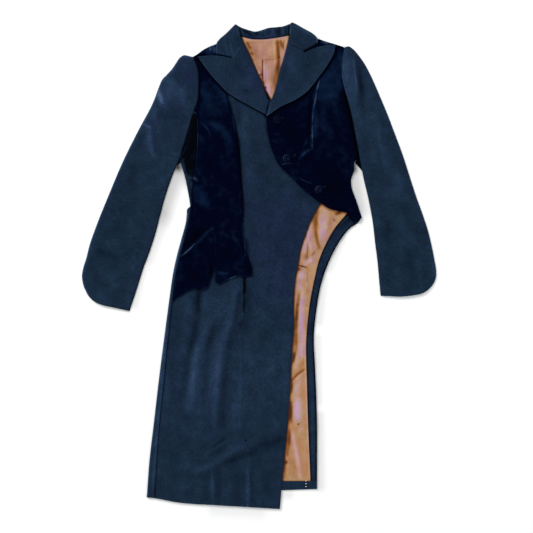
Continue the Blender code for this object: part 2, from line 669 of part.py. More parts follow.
def add_lapels():
    """Two wide peaked lapels. The right one crosses over the left one where the neck closes."""
    roll = smooth_line(ROLL_LEFT)
    gorge = moved(smooth_line(GORGE_LEFT)[::-1], down=GORGE_GAP)
    right = roll[roll[:, 1] > GORGE_LEFT[0].down]
    left = trimmed(smooth_line(LAPEL_LEFT_OUTER), 0, LINE_STEP)
    top = joined(smooth_line(LAPEL_LEFT_TOP)[::-1], gorge[:-1], right[:1])
    plan = plan_grid(top, ends(left[-1], right[-1]), left, right, LAPEL_ROWS, 6, {"right": ROLL_STEPS})
    fabric("lapel_left", plan, lapel_left_seat, WOOL, "wool")

    roll = smooth_line(ROLL_RIGHT)
    gorge = moved(smooth_line(GORGE_RIGHT), down=GORGE_GAP)
    left = between(roll, GORGE_RIGHT[0].down + GORGE_GAP, ROLL_RIGHT[-1].down - GAP)
    right = trimmed(smooth_line(LAPEL_RIGHT_OUTER), 0, LINE_STEP)
    top = joined(left[:1], gorge[1:], smooth_line(LAPEL_RIGHT_TOP))
    plan = plan_grid(top, ends(left[-1], right[-1]), left, right, LAPEL_ROWS, 6, {"left": ROLL_STEPS})
    fabric("lapel_right", plan, lapel_right_seat, WOOL, "wool")


def add_collar():
    """Two leaves on the front, the stand that shows inside the neck, and the fall under the back."""
    outer = smooth_line(LEAF_LEFT_OUTER[1:])
    inner = moved(joined(smooth_line(ROLL_LEFT[:3]), smooth_line(GORGE_LEFT)[1:]), down=-GORGE_GAP)
    front = smooth_line(LEAF_LEFT_FRONT)[::-1]
    steps = {"left": (TURN,), "right": ROLL_STEPS}
    plan = plan_grid(ends(outer[0], inner[0]), front, outer, inner, LEAF_ROWS, 5, steps)
    turned = [("left", above(SHOULDER_LEFT[4].down - ARMPIT_TRIM))]
    fabric("collar_leaf_left", plan, leaf_left_seat, WOOL, "wool", turned)

    outer = smooth_line(LEAF_RIGHT_OUTER[1:])
    inner = moved(joined(smooth_line(ROLL_RIGHT[:3]), smooth_line(GORGE_RIGHT)[1:]), down=-GORGE_GAP)
    front = smooth_line(LEAF_RIGHT_FRONT)
    steps = {"left": ROLL_STEPS, "right": (TURN,)}
    plan = plan_grid(ends(inner[0], outer[0]), front, inner, outer, LEAF_ROWS, 5, steps)
    turned = [("right", above(SHOULDER_RIGHT[2].down - ARMPIT_TRIM))]
    fabric("collar_leaf_right", plan, leaf_right_seat, WOOL, "wool", turned)

    left = trimmed(moved(smooth_line(ROLL_LEFT[:2]), across=SEAM_GAP), GAP)
    right = trimmed(moved(smooth_line(ROLL_RIGHT[:2]), across=-SEAM_GAP), GAP)
    top = joined(left[:1], trimmed(smooth_line(COLLAR_TOP), 2 * TURN, 2 * TURN), right[:1])
    bottom = joined(left[-1:], trimmed(smooth_line(STAND_SEAM), TURN, TURN), right[-1:])
    plan = plan_grid(top, bottom, left, right, 3, 12, {"top": (TURN,)})
    fabric("collar_stand", plan, front_seat, WOOL, "wool", [("top", everywhere)])

    top = moved(trimmed(smooth_line(COLLAR_TOP), FALL_TRIM, FALL_TRIM), down=SHOULDER_INSET)
    bottom = moved(top, down=FALL_DEPTH)
    plan = plan_grid(top, bottom, ends(top[0], bottom[0]), ends(top[-1], bottom[-1]), 2, 8, {})
    fabric("collar_fall", plan, surface_seat, WOOL, "wool")


def add_sleeve(side, outer, armhole, inner, hem):
    """One sleeve: its upper side, turned down round both edges, and the under side inside it."""
    outer_line = smooth_line(outer)
    inner_line = joined(smooth_line(armhole), smooth_line(inner)[1:])
    hem_line = smooth_line(hem)
    armpit = armhole[-1].down + ARMPIT_TRIM
    on_left = side == "left"
    edges = (outer_line, inner_line) if on_left else (inner_line, outer_line)
    bottom = hem_line if on_left else hem_line[::-1]
    plan = plan_grid(
        ends(edges[0][0], edges[1][0]), bottom, *edges, SLEEVE_ROWS, 7, {"left": (TURN,), "right": (TURN,)})
    turned = [("left" if on_left else "right", everywhere), ("right" if on_left else "left", below(armpit))]
    fabric("sleeve_upper_" + side, plan, sleeve_seat, WOOL, "wool", turned)

    inward = TURN_INSET if on_left else -TURN_INSET
    outer_line = trimmed(inset(outer_line, inward), UNDER_SLEEVE_TRIM)
    inner_line = trimmed(inset(inner_line, -inward), UNDER_SLEEVE_TRIM)
    edges = (outer_line, inner_line) if on_left else (inner_line, outer_line)
    cuff = moved(trimmed(bottom, TURN_INSET, TURN_INSET), down=-UNDER_CUFF_TRIM)
    bottom = joined(edges[0][-1:], cuff, edges[1][-1:])
    plan = plan_grid(ends(edges[0][0], edges[1][0]), bottom, *edges, UNDER_SLEEVE_ROWS, 3, {})
    fabric("sleeve_under_" + side, plan, surface_seat, WOOL, "wool")


def add_button(button):
    """Velvet-covered button with a ring round its raised middle."""
    turns = [2 * math.pi * k / BUTTON_SIDES for k in range(BUTTON_SIDES)]
    ring = np.array([(math.cos(a), math.sin(a)) for a in turns])
    reach = np.vstack([ring, [(0, 0)]]) * BUTTON_RADIUS
    cloth = bolero_seat(button.x + reach[:, 0], button.down + reach[:, 1]) + VELVET
    base = cloth.max() + GAP + BUTTON_CLEARANCE
    place = np.array([button.x, COAT_LENGTH / 2 - button.down])
    vertices = []
    for share, height in BUTTON_PROFILE:
        for a in ring:
            x, y = (place + a * BUTTON_RADIUS * share) / 1000
            vertices.append((x, y, (base + BUTTON_HEIGHT * height) / 1000))
    top = len(vertices)
    vertices.append((place[0] / 1000, place[1] / 1000, (base + BUTTON_HEIGHT) / 1000))
    faces = [tuple(reversed(range(BUTTON_SIDES)))]
    for level in range(len(BUTTON_PROFILE) - 1):
        for k in range(BUTTON_SIDES):
            a = level * BUTTON_SIDES + k
            b = level * BUTTON_SIDES + (k + 1) % BUTTON_SIDES
            faces.append((a, b, b + BUTTON_SIDES, a + BUTTON_SIDES))
    last = (len(BUTTON_PROFILE) - 1) * BUTTON_SIDES
    for k in range(BUTTON_SIDES):
        faces.append((last + k, last + (k + 1) % BUTTON_SIDES, top))
    add_object(button.name, vertices, faces, "velvet")


def build():
    for piece in list(bpy.data.objects):
        bpy.data.objects.remove(piece, do_unlink=True)
    add_back()
    add_linings()
    add_tail_facing()
    add_front_centre()
    add_side_skirt()
    add_side_panel()
    add_velvet_left()
    add_velvet_right()
    add_lapels()
    add_collar()
    add_sleeve("left", SLEEVE_LEFT_OUTER, ARMHOLE_LEFT, SLEEVE_LEFT_INNER, SLEEVE_LEFT_HEM)
    add_sleeve("right", SLEEVE_RIGHT_OUTER, ARMHOLE_RIGHT, SLEEVE_RIGHT_INNER, SLEEVE_RIGHT_HEM)
    for button in BUTTONS:
        add_button(button)


build()
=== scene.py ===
"""Looks of the asymmetric coat-jacket that lies flat on its back with the front up.

The tables are in millimetres, as a pattern cutter measures: x runs across from the middle of the
laid-out coat, and down runs from the top of the collar towards the hem. Left and right are the
viewer's. Each cloth piece is a thin shell with the form of its solid. Its creases, and the painted
shade and painted highlights on it, are rows of the tables, and everything else follows from the sizes below.
"""
import json
import math
from collections import namedtuple

import bmesh
import bpy
import numpy as np
from bpy.props import FloatProperty, FloatVectorProperty, IntProperty, PointerProperty
from bpy.types import Operator, Panel, PropertyGroup
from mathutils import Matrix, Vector

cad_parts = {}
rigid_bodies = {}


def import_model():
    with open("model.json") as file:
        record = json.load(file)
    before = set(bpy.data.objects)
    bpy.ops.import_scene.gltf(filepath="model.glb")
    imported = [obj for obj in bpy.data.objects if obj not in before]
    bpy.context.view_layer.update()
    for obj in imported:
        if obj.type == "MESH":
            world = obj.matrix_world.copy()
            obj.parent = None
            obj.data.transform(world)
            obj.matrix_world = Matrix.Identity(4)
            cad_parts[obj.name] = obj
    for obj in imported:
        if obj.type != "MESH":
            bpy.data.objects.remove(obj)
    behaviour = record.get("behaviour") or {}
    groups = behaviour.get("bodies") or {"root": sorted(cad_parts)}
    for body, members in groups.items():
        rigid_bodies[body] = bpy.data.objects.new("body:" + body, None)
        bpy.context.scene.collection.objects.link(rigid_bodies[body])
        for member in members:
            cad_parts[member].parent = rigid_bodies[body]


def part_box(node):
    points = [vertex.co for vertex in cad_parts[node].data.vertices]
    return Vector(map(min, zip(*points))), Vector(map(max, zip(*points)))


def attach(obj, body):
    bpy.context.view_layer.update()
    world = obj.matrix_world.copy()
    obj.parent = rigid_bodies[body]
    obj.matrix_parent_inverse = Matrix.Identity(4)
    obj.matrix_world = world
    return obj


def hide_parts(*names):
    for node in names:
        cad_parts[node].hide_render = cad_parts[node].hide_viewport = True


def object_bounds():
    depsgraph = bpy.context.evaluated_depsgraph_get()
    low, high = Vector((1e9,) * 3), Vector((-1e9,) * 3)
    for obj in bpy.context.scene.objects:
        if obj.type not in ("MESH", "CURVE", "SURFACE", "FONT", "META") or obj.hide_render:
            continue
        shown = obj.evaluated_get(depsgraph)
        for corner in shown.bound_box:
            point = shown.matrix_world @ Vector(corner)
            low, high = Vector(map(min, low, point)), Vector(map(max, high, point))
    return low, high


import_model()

bl_info = {
    "name": "Flat-laid coat-jacket",
    "version": (1, 0, 0),
    "blender": (4, 5, 0),
    "location": "View3D > Sidebar > Coat",
    "description": "Dresses the solids of an asymmetric coat-jacket in wool, velvet and satin",
    "category": "Object",
}

CAD_LOW, CAD_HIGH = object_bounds()
COAT_LENGTH = (CAD_HIGH.y - CAD_LOW.y) * 1000
BODY = "root"

# Cloth thickness and the clearances between layers and across the seams
WOOL = 1.8
VELVET = 2.0
SATIN = 1.0
GAP = 0.3
SEAM_GAP = 0.3
SIDE_SEAM_GAP = 0.35
ARMHOLE_GAP = 0.3
GORGE_GAP = 0.4

# Heights of the layers' lower faces above the surface
BACK_LAYER = 0.0
LINING_LAYER = BACK_LAYER + WOOL + GAP
FRONT_LAYER = LINING_LAYER + SATIN + GAP
OVER_LAYER = FRONT_LAYER + VELVET + GAP

# A turned edge rolls down to the surface, and what lies beneath it stops short of it
TURN = 2.0
TURN_ROLL = 6.0
TURN_FOOT = 0.1
ROLL_POWER = 2.2
TURN_INSET = 4.0
SHOULDER_INSET = 6.0
BACK_SIDE_INSET = 5.5
BACK_UNDER_SLEEVE = 1.6
ARMPIT_TRIM = 10.0
BACK_ARMPIT_TRIM = 50.0
ARMPIT_RISE = 24.0
TURN_FADE = 14.0

# The waist: the skirt starts here, and the left velvet climbs on to it just above
WAIST = 462.0
CLIMB_START = 392.0
CLIMB_LENGTH = 40.0

# The right velvet climbs on to the underlap below the neck, and sinks again beside it
LAP_START = 175.0
LAP_LENGTH = 28.0
LAP_BESIDE = 4.0
LAP_SLOPE = 30.0

# The lapels and leaves roll over the neck edges of the fronts, up to where the neck closes
ROLL_WIDTH = 6.0
LEFT_NECK_CLOSES = 178.0
RIGHT_NECK_CLOSES = 160.0
NECK_CLOSING = 20.0
LINING_UNDERCUT = 8.0

# The fall of the collar lies under the back, and lifts the neck
FALL_DEPTH = 45.0
FALL_TRIM = 8.0
NECK_LIFT = WOOL + GAP
NECK_MIDDLE = 12.0
NECK_HALF_WIDTH = 100.0
NECK_DEPTH = 78.0
NECK_FADE = 70.0
UPPER_NECK_REACH = 12.0

# Sleeves: fullness of the upper side, and where the under side starts below the head
SLEEVE_CROWN = 3.4
SLEEVE_HEAD_CROWN = 5.4
SLEEVE_HEAD_START = 60.0
SLEEVE_HEAD_LENGTH = 190.0
SLEEVE_ROUNDING = 0.55
UNDER_SLEEVE_TRIM = 32.0
UNDER_CUFF_TRIM = 1.0

# Steps along a line, and in from the edge of a cloth grid, where the edge is rounded or rolls over
LINE_STEP = 1.0
EDGE_STEPS = (0.35, 0.55, 0.9)
TURN_STEPS = (0.3, 0.5, 0.7, 0.9, 1.1, 1.3, 1.5)
EDGE_SHARE = 0.6
LEAST_WIDTH = 0.5
WIDTH_SAMPLES = 60

# A cloth's edge is rounded by this share and paler for a little way (painted highlight and worn fuzz), and a
# groove leaves some of its wall
EDGE_ROUNDING = 0.92
EDGE_FUZZ_AND_LIGHT = 0.22
EDGE_FUZZ_AND_LIGHT_REACH = 1.6
GROOVE_LIMIT = 0.7
LEAST_WALL = 0.05

# Pressed hems: how far above the edge their line lies, how deep it is and how wide
HEM_DEPTH = 42.0
CUFF_DEPTH = 36.0
HEM_LINE_DEPTH = 0.25
HEM_LINE_WIDTH = 2.6

# A mark fades to this share of its height at its ends, and a line of painted shade and highlight is followed in
# these steps
MARK_END_SHARE = 0.25
PAINTED_LINE_STEP = 16.0

# A free edge curls up to this far in, by a mean share and by waves: a share and its length across and down
CURL_REACH = 9.0
CURL_MEAN = 0.7
CURL_WAVES = ((0.3, 23.0, 31.0), (0.25, 9.0, -13.0))

# The satin lies free this far from the edges over it, and below the slant of the right velvet's hem
LINING_FREE = 7.0
TAIL_SATIN_X = 190.0
TAIL_SATIN_START = 470.0
TAIL_SATIN_SLOPE = 0.35
TAIL_SATIN_FADE = 20.0

# Lean of the grain from straight down the coat, in degrees
SLEEVE_LEAN = 20.0
LAPEL_LEFT_LEAN = -28.0
LAPEL_RIGHT_LEAN = 24.0
LEAF_LEFT_LEAN = -38.0
LEAF_RIGHT_LEAN = 32.0
FALL_LEAN = 45.0

# Sides of a cloth grid, and the names of what is kept on a cloth's mesh
SIDES = ("left", "right", "top", "bottom")
GRAIN_MAP = "grain"
TONE = "tone"
HUE = "hue"

# Casts that multiply the colour of a cloth where it leans to another hue, and the gain of the wool's painted
# highlight
NO_CAST = (1.0, 1.0, 1.0)
TEAL_CAST = (0.93, 1.03, 0.98)
VIOLET_CAST = (1.08, 0.90, 1.10)
ORANGE_CAST = (1.0, 0.82, 0.76)
ROSE_CAST = (0.90, 0.80, 1.22)
WOOL_HIGHLIGHT_GAIN = 1.8

# A covered button: its disc and edge as shares of its radius and height, then each step in over its top
# as a share of the rim's width and of the height. In its velvet, a band is a place out from the middle
# and a width, its painted highlight is what it has all round and what it has on one side, the painted
# shade of its groove is a share, and its painted light is a strength and the side that it faces, in degrees.
BUTTON_DISC = 0.93
BUTTON_WALL = 0.42
BUTTON_BEVEL = 0.14
BUTTON_PROFILE = (
    (0.25, 0.22), (0.3, 0.1), (0.25, -0.06), (0.22, -0.16), (0.2, 0.1), (0.55, 0.26), (0.75, 0.12), (0.8, 0.02))
BUTTON_RING = (0.84, 0.09)
BUTTON_DOME = (0.36, 0.10)
BUTTON_GROOVE = (0.60, 0.07)
RING_LIGHT = (0.45, 0.55)
DOME_LIGHT = (0.25, 0.5)
GROOVE_SHADE = 0.3
BUTTON_LIGHT_SIDE = {"button_1": (0.11, 260.0), "button_2": (0.42, 150.0), "button_3": (0.40, 135.0)}

# Shanks, in metres
SHANK_RADIUS = 0.0022
SHANK_HEIGHT = 0.0024

# Stitches. Lengths are in metres, and thicknesses, sink and rise are shares of the sewing thread's. Places
# are in millimetres and turns in degrees. FELL_REACH is a share of the line.
FELL_LENGTH = 0.0022
FELL_START = 500.0
FELL_END = 1146.0
FELL_PITCH = 4.6
FELL_LEAN = 52.0
FELL_SINK = 0.2
FELL_SHADE = 0.7
FELL_REACH = 0.002
NECK_FELL_STITCHES = 26
NECK_FELL_TURN = 125.0
NECK_FELL_DOWN = 0.4
HEM_STITCH_LENGTH = 0.0036
HEM_STITCH_THICKNESS = 4.0
HEM_STITCH_RISE = 0.5
HEM_STITCH_TURN = 4.0
HOLE_STITCH_LENGTH = 0.0021
HOLE_STITCH_THICKNESS = 1.1
HOLE_RADIUS = 1.8
HOLE_PITCH = 0.9
HOLE_END_STITCHES = 8
HOLE_SIDE_STITCHES = 4

# The floor lies this far under the coat, in metres, in a nearly white surround
FLOOR_DROP = 0.0001
SURROUND_COLOUR = (0.97, 0.985, 1.0, 1.0)

Point = namedtuple("Point", "x down")
Crease = namedtuple("Crease", "x1 down1 x2 down2 width height bow", defaults=(0,))
Stroke = namedtuple("Stroke", "x1 down1 x2 down2 width strength bow", defaults=(0,))
PaintedLine = namedtuple("PaintedLine", "line width strength")
Button = namedtuple("Button", "name x down turn")
Light = namedtuple("Light", "name place side colour")


def edge(*rows):
    """Points of a cut line, each with its columns x and down."""
    return tuple(Point(*row) for row in rows)


def creases(*rows):
    """Soft ridges or troughs: x1, down1, x2, down2, width, height, and bow where the line is bent."""
    return tuple(Crease(*row) for row in rows)


def strokes(*rows):
    """Brushed or pressed places: x1, down1, x2, down2, width, strength, and bow where the line is bent."""
    return tuple(Stroke(*row) for row in rows)


def painted_line_rows(*rows):
    """Lines of painted shade (strength below zero) and painted highlight (above zero), each with its columns
    line, width and strength.
    """
    return tuple(PaintedLine(*row) for row in rows)


# Neck, collar and lapels
ROLL_LEFT = edge((-55, 8), (-44, 37), (-39, 52), (-26, 78), (-5, 126), (17, 174), (29, 202), (18, 232))
ROLL_LEFT_OPEN = ROLL_LEFT[:7]
ROLL_RIGHT = edge((79, 4), (75, 34), (71, 54), (65, 78), (51, 126), (39, 174), (24, 212), (18, 237))
COLLAR_TOP = edge((-55, 8), (-44, 14), (-30, 19), (-10, 24), (8, 20), (23, 15), (43, 13), (60, 11), (79, 4))
STAND_SEAM = edge((-44, 37), (-20, 43), (8, 44), (43, 40), (75, 34))
LEAF_LEFT_OUTER = edge((-55, 8), (-60, 6), (-83, 29), (-98, 43), (-106, 54), (-108, 81))
LEAF_LEFT_FRONT = edge((-69, 88.8), (-78, 86.6), (-99, 82), (-108, 81))
LEAF_RIGHT_OUTER = edge((79, 4), (83, 1), (88, 3), (108, 14), (137, 32), (145, 41), (148, 54))
LEAF_RIGHT_FRONT = edge((114, 73.4), (131, 65), (148, 54))
GORGE_LEFT = edge((-39, 52), (-56, 72), (-69, 89.4))
GORGE_RIGHT = edge((71, 54), (93, 64), (114, 74))
LAPEL_LEFT_TOP = edge((-70, 91.8), (-78, 89.4), (-109, 84.6), (-125, 84.6), (-153, 87))
LAPEL_LEFT_OUTER = edge(
    (-153, 87), (-136, 112), (-118, 135), (-100, 155), (-79, 176), (-41, 200), (-12, 216), (18, 232))
LAPEL_RIGHT_TOP = edge((114, 77), (139, 66), (167, 59), (191, 58))
LAPEL_RIGHT_OUTER = edge(
    (191, 58), (187, 78), (170, 109), (148, 140), (120, 174), (91, 195), (55, 212), (18, 237))

# Shoulders and armholes
SHOULDER_LEFT = edge((-166, 87.5), (-155, 81), (-140, 70), (-123, 61), (-105, 54), (-88, 43), (-66, 30))
SHOULDER_RIGHT = edge((86, 22), (120, 35), (144, 41), (162, 47), (173, 50.5), (190, 55.5), (204, 60), (213, 63))
ARMHOLE_LEFT = edge(
    (-166, 87.5), (-155, 110), (-151, 155), (-154, 198), (-164, 225), (-179, 275), (-191, 315), (-199, 345))
ARMHOLE_RIGHT = edge(
    (213, 64), (208, 104), (208, 144), (217, 180), (229, 223), (239, 273), (250, 331), (256, 364))

# Side edges, seams and hems of the body
BODY_LEFT = edge(
    (-199, 345), (-185, 390), (-178, 424), (-173.5, 451), (-172.5, 461), (-179.5, 468), (-181, 482),
    (-183, 500), (-196, 549), (-206, 586), (-215, 628), (-225, 697), (-238, 795), (-250, 889), (-263, 1001),
    (-274, 1095), (-281, 1189))
ARMPIT_RIGHT = edge((238, 350), (237.5, 372), (230.5, 392))
BODY_RIGHT = edge((256, 364), (238, 355), (231, 385), (231, 411), (242, 444), (257, 489))
SIDE_SEAM_LEFT = edge(
    (-156, 230), (-154, 270), (-155, 315), (-159, 355), (-164, 390), (-167, 424), (-169, 458), (-174, 490),
    (-187, 549), (-197, 586), (-207, 628), (-216, 697), (-227, 795), (-238, 908), (-250, 1020), (-261, 1191))
PRINCESS_LEFT = edge(
    (-100, 46), (-95, 110), (-85, 168), (-75, 198), (-64, 238), (-50, 305), (-45, 372), (-41, 433),
    (-39, 483), (-37, 545), (-34.5, 645), (-37, 770), (-32, 960), (-29, 1103), (-29, 1213))
PEPLUM_RIGHT = edge((-39, 483), (-35, 545), (-29, 580), (-21, 603), (-16, 622), (-18, 636))
PEPLUM_HEM = edge(
    (-216, 699), (-203, 688), (-173, 671), (-155, 665), (-140, 670), (-129, 666), (-121, 646), (-116, 628),
    (-112, 610), (-110.5, 630), (-109, 649), (-105.5, 654), (-98, 655.5), (-82, 647.5), (-66, 639.5),
    (-52, 634.5), (-38, 637.5), (-18, 636))
HEM_FRONT = edge((-281, 1189), (-261, 1191), (-199, 1202), (-98, 1209), (-29, 1213), (52, 1218))
UNDERLAP_EDGE = edge(
    (-54, 40), (-49, 52), (-36, 78), (-15, 126), (7, 174), (22, 206), (45, 232), (66, 265), (84, 310),
    (106, 358), (133, 405), (152, 440), (153, 454))
SKIRT_EDGE = edge(
    (153, 454), (137, 480), (119, 525), (106, 563), (95, 617), (89, 655), (86, 710), (86, 758),
    (81, 838), (76, 932), (69, 1025), (60, 1118), (52, 1218))
CLOSURE_EDGE = edge(
    (89, 30), (81, 54), (75, 78), (61, 126), (49, 174), (34, 212), (19, 240), (19, 259), (26, 295),
    (35, 326), (53, 360), (78, 386), (109, 417), (151, 451))
BOLERO_HEM = edge((151, 451), (176, 467), (198, 473), (220, 478), (233, 490), (245, 501), (257, 489))
TAIL_EDGE = edge(
    (257, 489), (247, 503), (230, 514), (210, 536), (187, 574), (169, 614), (154, 661), (145, 710),
    (138, 770), (137, 800), (140, 863), (143, 932), (145, 1009), (145, 1118), (145, 1168))
FACING_INNER = edge(
    (236, 455), (220, 479), (191, 514), (168, 554), (151, 594), (139, 643), (128, 699), (121, 758),
    (118, 808), (120, 900), (123, 1009), (129, 1148))
TAIL_HEM_TOP = edge((30, 1148), (145, 1148))
TAIL_HEM_FOOT = edge((30, 1172), (58, 1171), (145, 1168))
BACK_NECK = edge((-48, 36), (8, 38), (70, 34))
BACK_HEM = edge((-276, 1184), (-98, 1178), (58, 1171), (145, 1168))
TAIL_LINING_HIDDEN = edge(
    (118, 440), (127, 470), (100, 520), (78, 565), (62, 660), (60, 760), (50, 932), (34, 1118), (30, 1148))
FACING_TOP = edge((240, 458), (247, 478))
FACING_FOOT = edge((145, 1148),)

# Levels down the coat where pieces start and end
CENTRE_SPAN = (60.0, 1212.5)
NECK_LINING_SPAN = (34.0, 200.0)
PRINCESS_TOP = 51.0
SIDE_PANEL_TOP = 230.0
SIDE_SEAM_FOOT = 1190.5
VELVET_LEAVES_ARMHOLE = 222.0

# Under sleeves reach across the armpits, where they carry painted shade and show dark between sleeve and body
ARMPIT_LEFT_REACH = edge((-200, 336), (-196, 351), (-208, 362))
ARMPIT_RIGHT_REACH = edge((252, 336), (239, 352), (252, 366), (261, 378))

# Sleeves
SLEEVE_LEFT_OUTER = edge(
    (-169, 87), (-178, 84.5), (-188, 83), (-199, 90), (-208, 103), (-219, 119), (-231, 132), (-243, 145),
    (-250, 161), (-266, 203), (-304, 275), (-341, 350),
    (-375, 430), (-406, 507), (-424, 558), (-432, 590), (-440, 616), (-443, 636), (-439, 660), (-429, 682))
SLEEVE_LEFT_INNER = edge(
    (-199, 345), (-207, 361), (-223, 402), (-236, 442), (-249, 490), (-259, 529), (-275, 578),
    (-290, 618), (-304, 663), (-324, 723))
SLEEVE_LEFT_HEM = edge((-429, 682), (-415, 697), (-395, 707), (-364, 714), (-324, 723))
SLEEVE_RIGHT_OUTER = edge(
    (215, 63), (224, 61), (233, 66), (250, 85), (265, 107), (283, 142), (303, 188), (319, 226),
    (340, 281), (358, 329), (379, 394), (393, 437), (408, 478), (423, 524), (431, 557), (438, 592),
    (443, 623), (442, 641), (435, 657), (422, 671))
SLEEVE_RIGHT_INNER = edge(
    (256, 364), (261, 390), (273, 441), (284, 499), (290, 551), (296, 598), (301, 654), (304, 685))
SLEEVE_RIGHT_HEM = edge((422, 671), (408, 679), (385, 684), (356, 687), (327, 686), (304, 685))

# Creases of the wool fronts, which every layer above them follows
FRONT_CREASES = creases(
    (-160, 745, -172, 985, 15, 2.6, 6), (-94, 700, -112, 1020, 17, 2.9, -8),
    (-176, 1128, -38, 1050, 18, 2.2, -6), (-38, 1050, 56, 1010, 18, 1.8, 5), (-125, 260, -92, 340, 20, 1.3),
    (-28, 1112, -27, 1206, 7, 1.3, 3), (-54, 640, -50, 790, 9, 1.7, 3), (-200, 860, -216, 1100, 12, 1.2, 4),
    (-140, 1010, -154, 1180, 16, 1.1, -5), (-72, 830, -66, 1010, 15, 1, 6), (22, 690, -6, 905, 24, 1.1, 9),
    (62, 480, 12, 640, 26, 1, -7), (-12, 330, 6, 460, 20, 0.9, 5), (38, 372, 104, 468, 16, 0.9, 6),
    (28, 1084, 36, 1190, 12, 0.9, -3), (-232, 1000, -240, 1150, 10, 0.8, 3),
    (-6, 258, -22, 350, 13, 0.8, 4), (-132, 760, -136, 880, 9, 0.8, 4), (56, 800, 44, 960, 14, 0.9, -4),
    (-190, 1150, -120, 1168, 10, 0.7, 3), (-10, 930, -60, 1000, 14, 0.8, 4),
)
FRONT_GROOVES = creases(
    (-30, 470, -31, 640, 5, 0.7, 1), (-144, 752, -152, 960, 7, 0.6, 4), (-78, 720, -92, 1000, 8, 0.6, -6),
    (-60, 1062, 20, 1030, 6, 0.5, 4),
)

# Creases of the left velvet. The long one is the welt across the peplum.
VELVET_LEFT_CREASES = creases(
    (-196, 587, -152, 546, 6, 3, -2), (-160, 552, -108, 513, 9, 2.4, 3), (-118, 520, -64, 492, 13, 1.3, 4),
    (-106, 562, -48, 492, 10, 1.5, -7), (-100, 627, -72, 628, 7, 1.1, -2),
    (-172, 384, -150, 403, 6, 1.7, 2), (-174, 446, -112, 406, 10, 1.5, 5),
    (-155, 246, -158, 366, 3, 0.9, 2), (-132, 222, -118, 300, 9, 1.1, 4), (-148, 168, -122, 226, 13, 1, -4),
    (-98, 172, -72, 300, 13, 1, 6), (-90, 326, -62, 422, 13, 0.4, -5), (-142, 300, -128, 384, 9, 0.9, 3),
    (-186, 622, -172, 668, 7, 1.1, 2), (-138, 596, -128, 654, 7, 1.2, 3), (-60, 540, -44, 616, 8, 1.1, 4),
    (-150, 610, -160, 660, 8, 0.8, -3), (-84, 440, -60, 486, 9, 1, 4),
)
VELVET_LEFT_GROOVES = creases(
    (-109, 515, -110, 610, 2.4, 1.3, 1), (-203, 577, -150, 530, 6, 1, -3),
    (-161, 246, -164, 366, 3, 0.9, 2), (-118, 540, -60, 520, 6, 0.7, 6), (-92, 150, -60, 300, 7, 0.7, 7),
)

# Creases of the right velvet. The first three are the princess dart, which ends at the diagonal.
VELVET_RIGHT_CREASES = creases(
    (153, 140, 142, 182, 4.5, 1.4), (142, 178, 133, 244, 4.5, 1.9, 2), (133, 240, 133.4, 318, 4.5, 1.9),
    (132, 318, 96, 354, 6, 2, 5), (54, 357, 86, 353, 4, 1.5, 2), (106, 394, 138, 406, 5, 1.5, -2),
    (34, 259, 56, 260, 4, 0.9, -2), (168, 96, 178, 322, 14, 1.1, 6), (203, 168, 192, 332, 12, 1, -5),
    (60, 268, 102, 288, 10, 0.8, 3), (158, 348, 216, 384, 12, 1, 6), (168, 436, 236, 470, 10, 1, 4),
    (102, 202, 78, 304, 12, 0.7, 4), (224, 396, 232, 458, 7, 0.9, 2), (120, 330, 150, 390, 9, 0.8, -4),
    (150, 250, 172, 262, 8, 0.8, 2),
)
VELVET_RIGHT_GROOVES = creases(
    (147, 138, 136, 182, 2.6, 1.2), (136, 178, 127, 244, 2.6, 1.4, 2), (127, 240, 127.4, 320, 2.6, 1.4),
    (122, 312, 90, 346, 3, 0.8, 4), (54, 350, 84, 346, 3, 0.8, 2),
)

# Creases of the collar and lapels
COLLAR_CREASES = creases(
    (-76, 56, -70, 88, 3, 1, 1), (-108, 54, -107, 78, 3, 0.8), (-86, 40, -60, 50, 8, 0.7, 2),
    (92, 20, 122, 44, 10, 0.7, 2), (-92, 118, -48, 176, 16, 0.6, 4), (-10, 150, -30, 190, 10, 0.6, 2),
    (120, 96, 88, 168, 16, 0.6, -4), (150, 84, 170, 74, 8, 0.5, 1),
)

# Creases of the satin in the neck: the pleat at the centre back, and folds that run down from the collar
NECK_CREASES = creases(
    (14, 92, 12, 190, 3.5, 1.7), (4, 92, 3, 150, 4, 0.9), (40, 44, 44, 168, 4, 2, 3),
    (52, 42, 50, 150, 4, 2.2, -2), (60, 46, 56, 118, 3, 1.2), (-32, 56, -6, 124, 7, 1.2, 3),
    (-14, 60, 4, 120, 5, 0.9, -3), (26, 50, 30, 90, 5, 0.9, 2), (-38, 50, 60, 46, 4, 0.9, 1),
    (30, 118, 26, 182, 4, 1, 2),
)
NECK_GROOVES = creases(
    (9, 90, 9, 180, 1.9, 0.95), (6, 94, 48, 94, 1.6, 0.5), (0, 134, 4, 137, 2.5, 0.6),
    (5, 161, 9, 165, 2.5, 0.6),
)

# Creases of the satin inside the tail
TAIL_CREASES = creases(
    (158, 456, 154, 560, 8, 2.4, -3), (136, 462, 128, 540, 5, 1.2, -3), (176, 470, 168, 520, 6, 1.3, 2),
    (138, 570, 138, 584, 3, 1), (131, 588, 133, 604, 3, 1), (100, 614, 119, 616, 3, 1.1),
    (111, 672, 103, 752, 6, 1.9, -3), (98, 744, 96, 826, 6, 1.6, 2), (84, 908, 118, 874, 4.5, 1.9, 2),
    (104, 884, 100, 1004, 7, 1.8, -3), (82, 1024, 107, 1142, 4.5, 1.6, 3), (70, 1060, 78, 1142, 6, 1.1, -2),
    (116, 1050, 120, 1118, 5, 1.1, 1), (112, 790, 106, 862, 6, 1.2, 2), (92, 640, 84, 700, 5, 1, 2),
    (104, 1030, 92, 960, 5, 0.9, 2),
)
TAIL_GROOVES = creases(
    (120, 522, 120, 645, 1.6, 0.6), (146, 458, 143, 548, 4, 0.7, -2), (95, 672, 97, 772, 3.5, 0.7, 1),
    (80, 902, 117, 866, 2.6, 0.8, 2), (97, 1004, 101, 1008, 2.5, 0.7),
)

